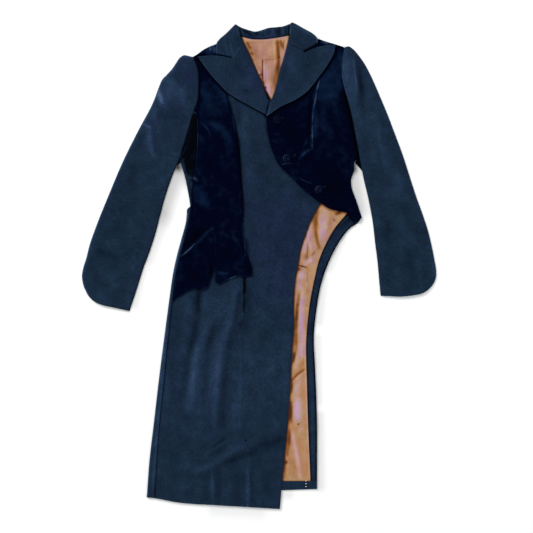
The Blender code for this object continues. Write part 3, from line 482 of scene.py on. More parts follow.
# Creases of the sleeves: pressed lines at the head, breaks at the elbow and long soft folds
SLEEVE_LEFT_CREASES = creases(
    (-218, 128, -262, 300, 14, 1.5, 8), (-275, 250, -302, 430, 17, 1.2, -8),
    (-330, 520, -396, 600, 18, 1.2, 6), (-243, 168, -252, 236, 6, 1.3, 3),
    (-274, 236, -254, 322, 7, 1.6, -7), (-196, 108, -186, 210, 9, 1, 4), (-178, 150, -190, 260, 9, 0.9, -4),
    (-224, 250, -206, 340, 10, 1.1, 5), (-240, 330, -300, 352, 9, 1.2, 4),
    (-230, 372, -310, 404, 10, 1.1, -5), (-262, 440, -340, 470, 12, 1.1, 5),
    (-300, 500, -286, 600, 12, 1, 5), (-346, 420, -372, 520, 12, 1, -5), (-384, 560, -404, 650, 12, 0.9, 4),
    (-340, 590, -334, 690, 12, 0.9, -3), (-286, 560, -372, 588, 10, 0.8, 4),
)
SLEEVE_RIGHT_CREASES = creases(
    (236, 84, 246, 196, 6, 1.7, 2), (262, 112, 272, 230, 11, 1.3, 3), (224, 90, 222, 190, 7, 0.9, -2),
    (330, 330, 346, 520, 18, 1.3, 8), (372, 470, 386, 640, 16, 1.2, 6), (252, 230, 284, 330, 12, 1.2, -6),
    (290, 220, 306, 300, 11, 1, 4), (266, 372, 330, 356, 9, 1.2, -4), (276, 420, 352, 398, 10, 1.1, 5),
    (288, 480, 300, 600, 12, 1, 4), (322, 540, 330, 660, 12, 1.1, -4), (352, 560, 356, 670, 9, 1, 3),
    (404, 560, 412, 640, 10, 0.9, 3), (300, 330, 322, 410, 10, 0.9, 4),
)
SLEEVE_GROOVES = creases(
    (252, 100, 256, 200, 4, 0.9, 2), (-250, 240, -240, 312, 5, 0.8, -6), (-236, 170, -240, 230, 4, 0.6, 3),
)

# Pressed troughs and seams in the faces that rest on the surface, cut up into the wall
BACK_TROUGHS = creases(
    (8, 60, 4, 300, 2.2, 0.9), (4, 300, -40, 700, 2.2, 0.9), (-40, 700, -68, 1170, 2.2, 0.9),
    (-120, 110, -96, 300, 2.2, 0.8, 10), (-96, 300, -112, 560, 2.2, 0.8, 4),
    (-112, 560, -160, 1170, 2.2, 0.8), (160, 100, 120, 300, 2.2, 0.8, -10),
    (120, 300, 110, 560, 2.2, 0.8, -4), (110, 560, 40, 1170, 2.2, 0.8), (-70, 420, 60, 436, 12, 0.7, 6),
    (-90, 480, 20, 468, 10, 0.7, -5), (-150, 700, -190, 1000, 14, 0.8, 8), (60, 620, 20, 940, 15, 0.8, -8),
    (-20, 780, -60, 1060, 13, 0.7, 6), (90, 860, 70, 1080, 11, 0.7, 5), (-120, 200, -60, 260, 12, 0.7, 5),
    (70, 190, 130, 250, 12, 0.7, -5), (-200, 930, -130, 1080, 12, 0.7, 6),
)
UNDER_SLEEVE_TROUGHS = creases(
    (-200, 200, -262, 360, 2.4, 0.8, 6), (-262, 360, -350, 690, 2.4, 0.8, -6),
    (-240, 330, -310, 352, 9, 0.7, 4), (-250, 420, -340, 446, 10, 0.7, -4),
    (-300, 520, -380, 560, 12, 0.7, 5), (238, 160, 272, 330, 2.4, 0.8, 6),
    (272, 330, 352, 660, 2.4, 0.8, 6), (264, 372, 336, 350, 9, 0.7, -4), (284, 450, 366, 430, 10, 0.7, 4),
    (306, 560, 396, 540, 12, 0.7, -5),
)

# Painted highlights and painted shade on the velvet along its creases, seams and edges, with some of its pile
# brushed light and crushed dark
VELVET_LEFT_STROKES = strokes(
    (-168, 300, -170, 460, 4, -0.5), (-197, 587, -160, 553, 1.6, 1, -2), (-158, 551, -128, 522, 4.5, 0.36),
    (-128, 524, -114, 514, 3.5, 0.2), (-186, 578, -124, 522, 5, 0.3, -2), (-92, 500, -84, 524, 8, 0.16),
    (-74, 516, -48, 562, 5, 0.18), (-98, 524, -58, 546, 5, 0.16), (-128, 532, -118, 556, 6, 0.16),
    (-99, 627, -76, 628, 3.2, 0.36, -1), (-78, 644, -56, 634.5, 1.5, 0.7),
    (-172, 388, -152, 397, 4, 0.6, 1), (-170, 414, -130, 448, 11, 0.29), (-170, 446, -122, 458, 10, 0.22),
    (-166, 218, -158, 240, 5, -1), (-156, 226, -158, 362, 4, -0.3, 2), (-154, 230, -157, 364, 1.4, 0.58, 2),
    (-158, 364, -146, 384, 1.6, 0.4), (-147, 250, -122, 284, 2.2, 0.46, 4), (-134, 74, -106, 66, 11, 0.46),
    (-122, 64, -121, 72, 2.6, 0.3), (-112, 62, -111, 79, 3.2, 0.36), (-128, 62, -112, 60, 3, 0.4),
    (-160, 84, -140, 71, 2, 0.62), (-148, 84, -132, 80, 3, -0.45), (-146, 150, -112, 228, 15, 0.32, -4),
    (-104, 150, -84, 216, 14, 0.3, 6), (-128, 250, -98, 264, 8, 0.28, 2), (-98, 262, -70, 306, 10, 0.32, 3),
    (-156, 98, -152, 232, 4, -0.3, 3), (-190, 566, -130, 508, 10, -0.6, -2),
    (-100, 590, -60, 575, 16, -0.3, 2), (-150, 620, -170, 650, 18, -0.3, 2),
    (-62, 270, -46, 420, 4, -0.6, 3), (-40, 500, -37, 548, 1.3, 0.4), (-37, 546, -33, 588, 1.3, 0.5),
    (-31, 590, -22, 630, 5, -0.4), (-118, 602, -121, 640, 4, -0.6), (-112, 560, -112, 606, 1.8, -0.5),
    (-109, 530, -109, 606, 1.2, 0.2), (-78, 186, -55, 320, 1.3, 0.65, 3),
    (-54, 316, -47, 440, 1.3, 0.45, 1), (-136, 320, -118, 372, 14, -0.2, 3),
    (-150, 460, -100, 480, 30, -0.1), (-110, 530, -60, 530, 26, -0.1),
)
VELVET_RIGHT_STROKES = strokes(
    (152, 142, 143, 176, 1.6, 0.75), (143, 176, 135, 220, 1.6, 0.8, 1), (135, 220, 132.6, 252, 1.5, 0.82),
    (132.6, 252, 133.4, 318, 1.7, 0.84), (128, 298, 132, 318, 1.3, 0.4), (134, 178, 136, 194, 1.4, 0.36, 1),
    (130, 318, 97, 348, 2.6, 0.52, -3), (128, 286, 110, 318, 4, 0.34, -2),
    (124, 318, 102, 336, 5, 0.26, -2), (141, 214, 138, 292, 5, 0.34), (54, 358, 84, 354, 1.7, 0.79, 2),
    (100, 390, 136, 405, 2, 0.4, -2), (152, 96, 152, 200, 16, 0.3), (176, 90, 180, 190, 18, 0.3, 6),
    (158, 192, 200, 184, 8, 0.27, 3), (150, 204, 200, 206, 6, 0.14, 3), (150, 240, 190, 300, 16, 0.1, -4),
    (156, 206, 160, 240, 6, 0.13), (158, 262, 166, 274, 6, 0.16), (186, 200, 190, 250, 7, 0.14),
    (146, 228, 142, 300, 5, 0.12), (200, 120, 206, 190, 10, 0.18, -2), (128, 60, 122, 120, 10, 0.14),
    (198, 64, 206, 116, 8, 0.26), (155, 48, 172, 53, 4.5, 0.68), (166, 53, 186, 58, 3.6, 0.42),
    (148, 41, 150, 58, 1.8, -0.8), (128, 190, 122, 300, 4, -0.58), (28, 262, 44, 266, 2.4, 0.22, 1),
    (30, 282, 48, 284, 2.4, 0.18, 2), (32, 298, 50, 304, 2.4, 0.22, 2), (70, 380, 96, 404, 4, 0.3),
    (104, 412, 118, 424, 2.4, 0.4), (34, 226, 52, 224, 2, 0.2, 2), (44, 258, 54, 262, 1.5, 0.29),
    (60, 262, 112, 302, 26, -0.22), (150, 400, 210, 440, 30, -0.4), (90, 300, 120, 360, 40, -0.1),
    (70, 220, 40, 270, 16, -0.18), (160, 340, 190, 400, 20, -0.18), (190, 466, 232, 482, 5, -0.36, 2),
    (96, 352, 100, 358, 2.4, 0.36), (125, 427, 128, 430, 1.6, 0.58),
)

# Painted shade in the wool's folds and beside its edges, and painted highlights on its ridges and rims
FRONT_STROKES = strokes(
    (-150, 652, -151, 734, 9, -0.72), (-152, 732, -178, 846, 9, -0.52), (-178, 840, -190, 940, 10, -0.26),
    (-114, 690, -118, 752, 24, 0.18), (-128, 750, -156, 824, 13, 0.3), (-155, 814, -176, 974, 11, 0.46),
    (-180, 675, -180, 728, 10, 0.18), (-112, 756, -131, 832, 9.5, -0.5),
    (-131, 828, -137, 960, 10.5, -0.32), (-57, 655, -68, 724, 10, 0.32), (-68, 722, -82, 774, 11, 0.34),
    (-82, 770, -97, 814, 12, 0.34), (-97, 808, -103, 876, 11.5, 0.42), (-103, 870, -109, 950, 10, 0.38),
    (-109, 944, -112, 1016, 9, 0.32), (-138, 684, -150, 756, 10, 0.22), (-68, 772, -85, 870, 10, -0.44),
    (-85, 862, -95, 1012, 11, -0.42), (-58, 930, -68, 1022, 10, 0.16), (-49, 674, -62, 772, 7, -0.4),
    (-36.4, 634, -37.6, 684, 4.4, -1.3), (-38, 686, -39, 728, 4, -0.85), (-44, 744, -52, 776, 6, -0.3),
    (-38.5, 740, -42, 930, 1.8, -0.16), (-40.5, 640, -42, 744, 1.7, 0.5), (-30, 650, -33, 780, 12, -0.3),
    (-45, 806, -50, 1022, 8, 0.18), (-30, 812, -22, 880, 9, 0.12), (-22, 826, 42, 756, 12, -0.14),
    (62, 780, 68, 950, 12, 0.16), (44, 850, 52, 930, 9, -0.12), (-166, 1126, -112, 1104, 6, 0.4, -1),
    (-112, 1104, -46, 1060, 8, 0.34, 1), (-46, 1060, 62, 994, 13, 0.18, -4),
    (-106, 1112, -20, 1078, 9, -0.46, 1), (-24, 1078, 66, 1036, 15, -0.5, 1),
    (-126, 1086, -76, 1056, 5, -0.34), (-116, 1063, -84, 1040, 2.6, -0.6),
    (-34, 1045, -32, 1049, 2.4, -1.5), (-153, 1146, -158, 1198, 12, 0.12),
    (-132, 1140, -135, 1200, 7, -0.18), (-118, 1112, -115, 1208, 4, 0.4),
    (-101, 1120, -103, 1196, 11, -0.22), (-76, 1146, -74, 1206, 6, 0.14), (-52, 1124, -55, 1200, 10, -0.18),
    (-28, 1108, -28, 1212, 4.4, 0.42), (-17, 1120, -18, 1206, 6, -0.18), (14, 1120, 26, 1196, 18, -0.12),
    (-206, 720, -224, 1000, 14, -0.12), (19, 238, 20, 264, 2.4, 0.7), (-44, 210, -20, 440, 17, 0.2, 8),
    (-54, 192, -50, 262, 9, -0.34), (-22, 250, -16, 330, 11, -0.16), (-32, 190, -26, 216, 6, 0.22),
    (12, 356, 18, 412, 18, -0.12), (-24, 420, -20, 620, 14, -0.1), (60, 470, 52, 640, 34, -0.08),
    (92, 424, 142, 452, 12, -0.26), (-104, 82, -66, 92, 6, -2), (-33, 540, -24, 596, 4, -0.55, 1),
    (-18, 600, -13, 634, 3.5, -0.3), (-115, 800, -140, 980, 80, 0.22), (30, 800, 30, 960, 50, 0.15),
    (-20, 260, 0, 460, 60, -0.14), (-230, 860, -240, 1000, 12, 0.14),
)
SIDE_PANEL_STROKES = strokes(
    (-166, 218, -158, 238, 6, -1.8), (-168, 232, -189, 342, 16, -1.8), (-178, 340, -174, 350, 8, -1.4),
    (-168, 300, -167, 376, 8.5, -1.8), (-168, 360, -167, 400, 4.6, -1.2), (-156, 236, -157, 350, 4.4, -1.6),
    (-172, 389, -165, 391, 2.4, 1), (-171, 412, -170, 452, 3, -0.3), (-196, 342, -171, 298, 1.5, 1.3, 2),
    (-184, 346, -176, 384, 4.6, -0.9), (-184, 360, -173, 440, 12, -0.35), (-190, 368, -179, 424, 2, 0.6),
    (-179, 420, -172, 456, 2.4, 0.9), (-178, 474, -183, 500, 2.4, 0.5), (-186, 480, -214, 640, 5, 0.4),
    (-226, 700, -268, 1180, 5, 0.5),
)
COLLAR_STROKES = strokes(
    (-73, 50, -66, 88, 1.8, 0.5, 1), (-106, 60, -107, 79, 1.4, 0.7), (-88, 44, -80, 74, 3, 0.22, 1),
    (-96, 52, -92, 74, 4, -0.2), (-65, 90, -43, 57, 1.6, 0.5, 1), (-56, 28, -50, 62, 5, -0.22),
    (-58, 12, -47, 38, 1.4, 0.5), (-49, 18, -43.6, 38, 1.9, -1.1), (-42, 20, -16, 36, 5, -0.75),
    (-31, 30, -26, 33, 2.4, 0.6), (-44, 20, -41, 28, 2.2, 0.5), (-20, 24, -17, 31, 2.2, 0.35),
    (-12, 27, 0, 32, 4.5, -0.75), (-6, 38, 10, 39, 2, 0.3), (-14, 24, 12, 22, 2.4, 0.25),
    (8, 30, 12, 37, 2.6, -0.4), (24, 20, 24, 34, 3, -0.5), (41, 18, 42, 32, 2, -0.4),
    (34, 14, 35, 32, 2.6, 0.4), (48, 16, 50, 36, 4, -0.8), (59, 16, 60, 32, 2.4, 0.35),
    (67, 14, 68, 32, 2.6, -0.6), (75, 8, 74, 34, 1.5, -1.8), (79, 8, 77, 36, 1.5, 0.6),
    (88, 8, 140, 38, 4, 0.45, 1), (144, 42, 146, 54, 2.4, 0.6), (100, 34, 104, 62, 9, -0.14),
    (-14, 110, -34, 160, 12, 0.22, 4), (-32, 171, -30, 174, 2.2, -0.9), (-110, 96, -84, 110, 10, 0.14),
    (-112, 108, -90, 132, 10, 0.12), (-60, 100, -46, 150, 11, -0.14), (-84, 116, -66, 140, 8, -0.12),
    (-40, 100, -30, 130, 5, 0.12), (84, 76, 78, 126, 12, 0.16), (120, 84, 142, 112, 26, -0.14),
    (66, 110, 58, 140, 6, -0.14), (60, 150, 44, 190, 8, 0.16), (29.5, 203, 20.5, 238, 2.2, 0.6),
    (24.5, 200, 17.5, 230, 2, -1.1), (13, 165, 26, 197, 2.4, -1.3), (-90, 120, 120, 120, 90, -0.07),
)

# Painted shade in the satin's folds and painted highlights of its sheen
NECK_STROKES = strokes(
    (-42, 40, 10, 45, 3.9, 0.45), (10, 45, 70, 37, 3.9, 0.38), (-40, 48, -12, 106, 3.4, 0.3),
    (-12, 106, 7, 142, 3.1, 0.41), (70, 42, 55, 112, 3.4, 0.45), (-30, 45, 40, 100, 50, -0.14),
    (-36, 50, -20, 86, 10, -0.16), (-32, 50, -25, 62, 6, -0.2), (-23, 62, -20, 68, 4, -0.35),
    (-20, 77, -17, 83, 3.5, -0.32), (-8, 56, 2, 106, 12, -0.16), (56, 46, 61, 72, 3, -0.75),
    (44, 104, 38, 160, 5, -0.42), (-28, 56, -22, 66, 3, -0.3), (-20, 74, -14, 84, 3, -0.3),
    (-32, 50, -26, 56, 2.4, -0.3), (-16, 92, 0, 128, 7.8, -0.19), (0, 52, 0, 102, 9.1, 0.3),
    (20, 56, 26, 88, 11.7, 0.08), (14, 104, 16, 146, 7.8, 0.5), (26, 100, 30, 140, 7.8, 0.1),
    (-6, 68, -4, 100, 9, -0.16), (18, 150, 30, 192, 6.5, 0.68, -2), (30, 112, 31, 160, 7.8, -0.15),
    (34, 45, 38, 84, 6.5, 0.16), (52, 44, 53, 84, 1.2, 0.5), (46.5, 44, 47, 92, 5, -0.8, 1),
    (49, 84, 46, 134, 5, -0.74), (55.5, 44, 56, 78, 1.4, -0.4), (43, 136, 38, 168, 5.2, -0.22),
    (57, 42, 58, 76, 2.9, 0.4), (61, 46, 60, 66, 3.4, -0.4), (52, 42, 54, 62, 1.5, -0.6),
    (9, 94, 9, 142, 1.15, -1.8), (8, 122, 9, 160, 3.9, -0.83), (2, 131, 4, 134, 3, -1.5),
    (14, 162, 17, 167, 3.2, -2.4), (10, 150, 12, 156, 2.4, -1.2), (16, 172, 28, 199, 3.6, -2.2),
    (9, 96, 44, 94, 1.3, -0.35), (-50, 46, -40, 62, 3, -2), (77, 50, 72, 64, 3, -2),
)
TAIL_STROKES = strokes(
    (156, 456, 166, 478, 6, 0.25), (160, 478, 158, 546, 10.5, 0.68), (150, 496, 167, 494, 1.8, -0.3, 2),
    (146, 468, 141, 520, 7.4, -0.7, -1), (141, 518, 151, 568, 5, -0.7, -1), (130, 500, 124, 540, 6, 0.5),
    (182, 482, 166, 544, 11.6, -0.13), (190, 482, 206, 474, 4.3, -0.79), (186, 494, 190, 498, 2.9, -0.53),
    (118, 540, 114, 580, 5, 0.65), (128, 548, 130, 574, 4, 0.4), (139, 574, 131, 586, 2.6, -0.5),
    (114, 608, 134, 590, 5.8, 0.62, 1), (124, 599, 134, 596, 1.3, 0.9), (122, 528, 121, 652, 1.2, -0.36),
    (119, 554, 117, 598, 4.6, -0.42), (120, 520, 124, 550, 1.8, 0.8), (124, 550, 129, 572, 1.6, 0.5),
    (113, 548, 104, 588, 2.6, 0.45), (96, 608, 119, 614, 1.5, -1.7), (97, 622, 103, 616, 4.3, -0.79),
    (99, 640, 112, 628, 8.7, 0.7), (99, 650, 110, 694, 7.2, 0.44), (124, 640, 122, 700, 5.8, -0.13),
    (103, 670, 97, 712, 4.8, -0.62), (97, 704, 92.5, 768, 5.2, -0.95), (92.5, 764, 94, 822, 5.4, -0.66),
    (92, 680, 88.5, 740, 2, 0.3), (107.5, 684, 105, 800, 7, 0.8, -1), (118, 700, 113, 780, 4, -0.12),
    (104, 800, 103, 838, 8, 0.7), (96, 836, 93, 856, 4.4, 0.5), (90, 824, 84.5, 852, 4.4, -1),
    (114, 842, 106, 864, 5, -0.12), (88, 858, 92, 866, 5.8, 0.53), (80, 900, 117, 868, 3.6, -0.66, 3),
    (100, 890, 90, 928, 8, 0.5), (93, 948, 93, 998, 9.5, 0.7), (98, 932, 101, 996, 8.7, 0.44),
    (83, 898, 81, 928, 4.4, -0.8), (80, 948, 79, 1000, 6, -1.05), (97, 1005, 99, 1007, 2.2, -1.8),
    (103, 1003, 106, 1002, 1.6, -0.7), (102, 1014, 106, 1022, 5.8, 0.48), (82, 1022, 103, 1142, 5, 0.85, 1),
    (77, 1020, 74, 1062, 4.6, -0.9), (73, 1062, 71, 1086, 3.4, -0.5), (66, 1098, 64, 1142, 2.6, -0.4),
    (66, 1098, 67, 1104, 4.3, -1.14), (86, 1090, 90, 1140, 11.6, -0.13), (112, 760, 117, 900, 2, 0.4),
    (117, 890, 126, 1142, 1.8, 0.55),
)

# Places where a cloth leans to another hue, on every cloth that they cross: partly the cloth's own uneven hue,
# and partly painted light, orange in the satin's painted fold shade and rose and lavender in painted highlights
HUE_STROKES = strokes(
    (-330, 460, -400, 660, 90, -0.8), (-260, 300, -300, 380, 60, -0.2), (-236, 160, -200, 240, 34, 0.7),
    (-178, 104, -176, 176, 18, 0.8), (-266, 230, -262, 330, 16, 0.6), (240, 92, 250, 190, 8, 0.5),
    (-196, 90, -186, 130, 22, 0.3), (250, 120, 330, 400, 70, -0.1), (330, 440, 410, 660, 80, -0.9),
    (30, 420, 60, 640, 90, 1), (30, 640, 60, 700, 60, 0.6), (-150, 760, -150, 980, 70, 0.15),
    (-150, 1060, -170, 1160, 70, -0.4), (20, 940, 20, 1180, 70, -0.35), (-60, 130, 90, 130, 70, 0.5),
    (0, 50, 20, 180, 34, 0.95), (47, 48, 44, 150, 6.5, -1.8), (-30, 50, -14, 90, 7, -1),
    (-40, 41, 70, 39, 4.6, 0.9), (70, 44, 52, 124, 4, 0.9), (-40, 48, 6, 140, 4, 0.6),
    (188, 484, 170, 540, 10, 0.5), (93, 948, 93, 998, 8, 0.9), (105, 690, 102, 850, 6, 0.4),
    (143, 470, 149, 566, 7, -1.3, -1), (98, 690, 91, 850, 6, -1.3), (80, 900, 117, 866, 5, -0.9, 3),
    (112, 840, 106, 862, 5, -0.8), (80, 950, 76, 1060, 6, -1.1), (225, 70, 250, 150, 26, 0.5),
    (160, 480, 130, 580, 40, 0.4), (110, 660, 104, 850, 30, 0.6), (100, 1040, 96, 1140, 30, -0.7),
    (110, 870, 112, 1000, 9, -0.5),
)

# Painted shade on the under sleeves inside the armpits
ARMPIT_PAINTED_SHADE = strokes(
    (-202, 330, -200, 360, 14, -1.6), (246, 335, 250, 368, 16, -1.7),
)

# Soft shade on the floor beside the coat. Its strength is the share of light that it takes.
FLOOR_SHADES = strokes(
    (-200, 348, -203, 362, 12, 0.58), (-208, 378, -240, 470, 30, 0.46), (-250, 508, -282, 590, 28, 0.29),
    (-296, 630, -312, 705, 18, 0.24), (-186, 366, -180, 400, 14, 0.16), (238, 350, 237, 366, 12, 0.5),
    (235, 378, 250, 470, 26, 0.4), (206, 545, 176, 614, 15, 0.2), (162, 646, 150, 750, 15, 0.2),
    (146, 790, 148, 950, 13, 0.19), (150, 985, 152, 1160, 15, 0.22), (-110, 1220, 0, 1226, 20, 0.13),
    (36, 1184, 76, 1182, 12, 0.16),
)

# Painted shade and painted highlights on the wool of the tail's facing, and then of the sleeves
FACING_STROKES = strokes(
    (134, 700, 129, 800, 3, -0.3), (232, 474, 180, 550, 9, -0.35), (170, 566, 140, 680, 6, -0.12),
    (240, 486, 212, 510, 12, -0.34), (236, 470, 206, 504, 1.2, 0.6, 1), (130, 840, 136, 1140, 4, 0.16),
    (241, 504, 254, 491, 5, -1.6),
)
SLEEVE_STROKES = strokes(
    (-242, 158, -204, 188, 22, 0.3), (-255, 170, -240, 210, 7, 1, 1), (-212, 122, -176, 150, 16, -0.14),
    (-222, 124, -190, 166, 3.4, -0.2, 2), (-240, 146, -206, 156, 9, 0.22), (-198, 168, -180, 216, 9, 0.26),
    (-250, 232, -186, 242, 10, -0.28), (-226, 272, -190, 290, 25, -0.1), (-256, 212, -266, 246, 6, 0.34),
    (-289, 256, -268, 266, 4, 0.66), (-275, 266, -270, 320, 7, 0.52, -1), (-272, 316, -262, 338, 4.5, 0.46),
    (-257, 345, -248, 420, 14, 0.14), (-236, 322, -240, 384, 6, 0.16), (-306, 344, -322, 410, 14, -0.26),
    (-294, 284, -300, 322, 8, -0.16), (-336, 458, -348, 522, 14, -0.16), (-315, 480, -326, 546, 13, 0.16),
    (-368, 460, -366, 492, 8, -0.14), (-406, 570, -354, 590, 8, -0.38), (-400, 548, -360, 562, 8, 0.14),
    (-433, 545, -439, 610, 10, 0.3), (-405, 620, -405, 655, 7, -0.26), (-380, 632, -360, 672, 14, 0.2),
    (-336, 650, -346, 700, 12, -0.14), (-330, 300, -400, 660, 90, -0.12), (220, 92, 215, 160, 13, 0.2),
    (236, 84, 246, 176, 2.6, 0.5, -1), (245, 90, 261, 190, 8, -0.42, -2), (254, 124, 260, 236, 10, -0.42),
    (212, 70, 216, 150, 12, 0.16), (268, 116, 282, 160, 7, 0.12), (290, 230, 318, 360, 9, 0.26, -2),
    (278, 292, 288, 362, 6, 0.14), (258, 262, 270, 350, 10, -0.14), (298, 320, 304, 370, 6, -0.14),
    (342, 372, 350, 452, 15, 0.22, 2), (315, 480, 324, 562, 11, -0.28, 2), (354, 480, 364, 548, 10, 0.16),
    (364, 452, 370, 510, 5, -0.16), (376, 520, 392, 560, 8, 0.14), (372, 560, 384, 636, 10, -0.24),
    (340, 580, 348, 662, 11, 0.14), (396, 596, 404, 648, 8, 0.2), (433, 580, 439, 640, 7, 0.26),
    (224, 90, 250, 260, 40, 0.2), (320, 560, 420, 640, 60, -0.06),
)

# Lines of painted shade beside the edges and seams that lie on a cloth, and of painted highlight along rims and
# worn edges
VELVET_LEFT_PAINTED_LINES = painted_line_rows(
    (LAPEL_LEFT_OUTER, 4.2, -1.3), (ARMHOLE_LEFT, 3.0, -0.8), (PRINCESS_LEFT[:9], 2.4, -0.8),
    (PEPLUM_HEM, 2.0, 0.12),
)
VELVET_RIGHT_PAINTED_LINES = painted_line_rows(
    (LAPEL_RIGHT_OUTER, 5.0, -1.3), (ARMHOLE_RIGHT[:3], 3.0, 0.25), (ARMHOLE_RIGHT[2:4], 2.6, -0.9),
    (ARMHOLE_RIGHT[3:], 9.0, -1.1), (CLOSURE_EDGE, 2.4, -0.3),
)
FRONT_PAINTED_LINES = painted_line_rows(
    (LAPEL_LEFT_OUTER, 4.0, -1.6), (LAPEL_RIGHT_OUTER, 4.0, -1.2), (PRINCESS_LEFT[:9], 3.4, -0.8),
    (PRINCESS_LEFT[11:], 2.0, 0.04), (CLOSURE_EDGE, 3.6, -0.5), (PEPLUM_HEM, 4.0, -0.5),
    (SIDE_SEAM_LEFT, 1.6, -0.9), (SKIRT_EDGE, 3.0, -0.25),
)
SIDE_PANEL_PAINTED_LINES = painted_line_rows(
    (BODY_LEFT[6:], 3.2, 0.6), (SIDE_SEAM_LEFT, 1.6, -0.9), (ARMHOLE_LEFT, 5.0, -0.9),
)
SLEEVE_PAINTED_LINES = painted_line_rows(
    (ARMHOLE_LEFT, 1.8, -0.4), (ARMHOLE_RIGHT[3:], 1.8, -0.4), (SLEEVE_LEFT_OUTER, 7.0, 0.22),
    (SLEEVE_LEFT_OUTER, 2.6, 0.5), (SLEEVE_LEFT_INNER, 2.2, -0.7), (SLEEVE_LEFT_HEM, 2.0, -0.5),
    (SLEEVE_RIGHT_OUTER, 2.2, 0.35),
)
COLLAR_PAINTED_LINES = painted_line_rows(
    (GORGE_LEFT, 1.4, -0.2), (GORGE_RIGHT, 2.4, -0.22), (LEAF_LEFT_FRONT, 1.5, -0.8),
    (LEAF_RIGHT_FRONT, 3.2, -1.3), (LAPEL_LEFT_OUTER, 1.5, 0.3), (LAPEL_RIGHT_OUTER, 1.5, 0.3),
    (ROLL_LEFT, 1.8, -0.25), (STAND_SEAM, 2.8, -0.9),
)
NECK_PAINTED_LINES = painted_line_rows(
    (ROLL_LEFT, 2.6, -1.5), (ROLL_RIGHT, 2.0, -0.5),
)
TAIL_PAINTED_LINES = painted_line_rows(
    (SKIRT_EDGE, 4.0, -1.0), (FACING_INNER, 1.8, -0.5), (BOLERO_HEM, 5.0, -0.6), (TAIL_HEM_TOP, 1.8, -0.6),
)
FACING_PAINTED_LINES = painted_line_rows(
    (FACING_INNER, 3.0, -1.1), (TAIL_EDGE, 3.6, -1.5), (BOLERO_HEM, 5.0, -1.0),
)

# Buttons, and the ends of buttonholes that show past them, with their turn in degrees
BUTTONS = (
    Button("button_1", 43, 243, 10),
    Button("button_2", 70, 342, 95),
    Button("button_3", 150, 420, -30),
)
BUTTONHOLES = (
    Button("hole_1", 60, 240, 12),
    Button("hole_2", 89, 333, 28),
    Button("hole_3", 165, 412, 30),
)

# The three pale stitches on the hem of the tail
HEM_STITCHES = edge((117.4, 1147.5), (117.5, 1154.6), (117.2, 1162.0))

# Soft lights: where they stand and their sides, in metres
KEY_LIGHT = Light("key", (-2.4, 2.3, 2.4), 2.0, (1.0, 0.985, 0.96))
FILL_LIGHT = Light("fill", (2.8, -1.2, 2.2), 2.6, (0.94, 0.97, 1.0))

# What several pieces of a cloth share
COLLAR_LOOK = {"tones": COLLAR_STROKES, "painted_lines": COLLAR_PAINTED_LINES}
FRONT_LOOK = {"grooves": FRONT_GROOVES, "tones": FRONT_STROKES, "painted_lines": FRONT_PAINTED_LINES, "hem_line": HEM_DEPTH}


def register_length(description, name, default, low, high):
    """A length property, in metres, that a user can change."""
    return FloatProperty(
        name=name, description=description, default=default, min=low, max=high, precision=4,
        subtype="DISTANCE", unit="LENGTH")


def register_colour(description, name, default):
    """A colour property, in linear values."""
    return FloatVectorProperty(
        name=name, description=description, default=default, min=0.0, max=1.0, size=3, subtype="COLOR")


class COAT_PG_cloth(PropertyGroup):
    """Sizes of the cloth shells and of the weave"""

    near_spacing: register_length(
        "Grid spacing of the velvet, satin and collar", "Near spacing", 0.0023, 0.001, 0.02)
    front_spacing: register_length("Grid spacing of the wool that shows", "Front spacing", 0.0031, 0.001, 0.02)
    under_spacing: register_length("Grid spacing of the hidden sides", "Under spacing", 0.0055, 0.002, 0.03)
    curl: register_length(
        "Lift of the free edges of lapels, peplum and right front", "Edge curl", 0.0009, 0.0, 0.004)
    wool_pitch: register_length("Width of one rib of the wool's twill", "Wool rib", 0.0011, 0.0004, 0.004)
    satin_pitch: register_length("Width of one rib of the satin", "Satin rib", 0.0005, 0.0002, 0.002)
    thread: register_length("Thickness of the sewing thread", "Thread", 0.0005, 0.0002, 0.002)
    crease_depth: FloatProperty(
        name="Crease depth", description="Share of the creases' heights in the tables", default=1.0,
        min=0.0, max=2.0)


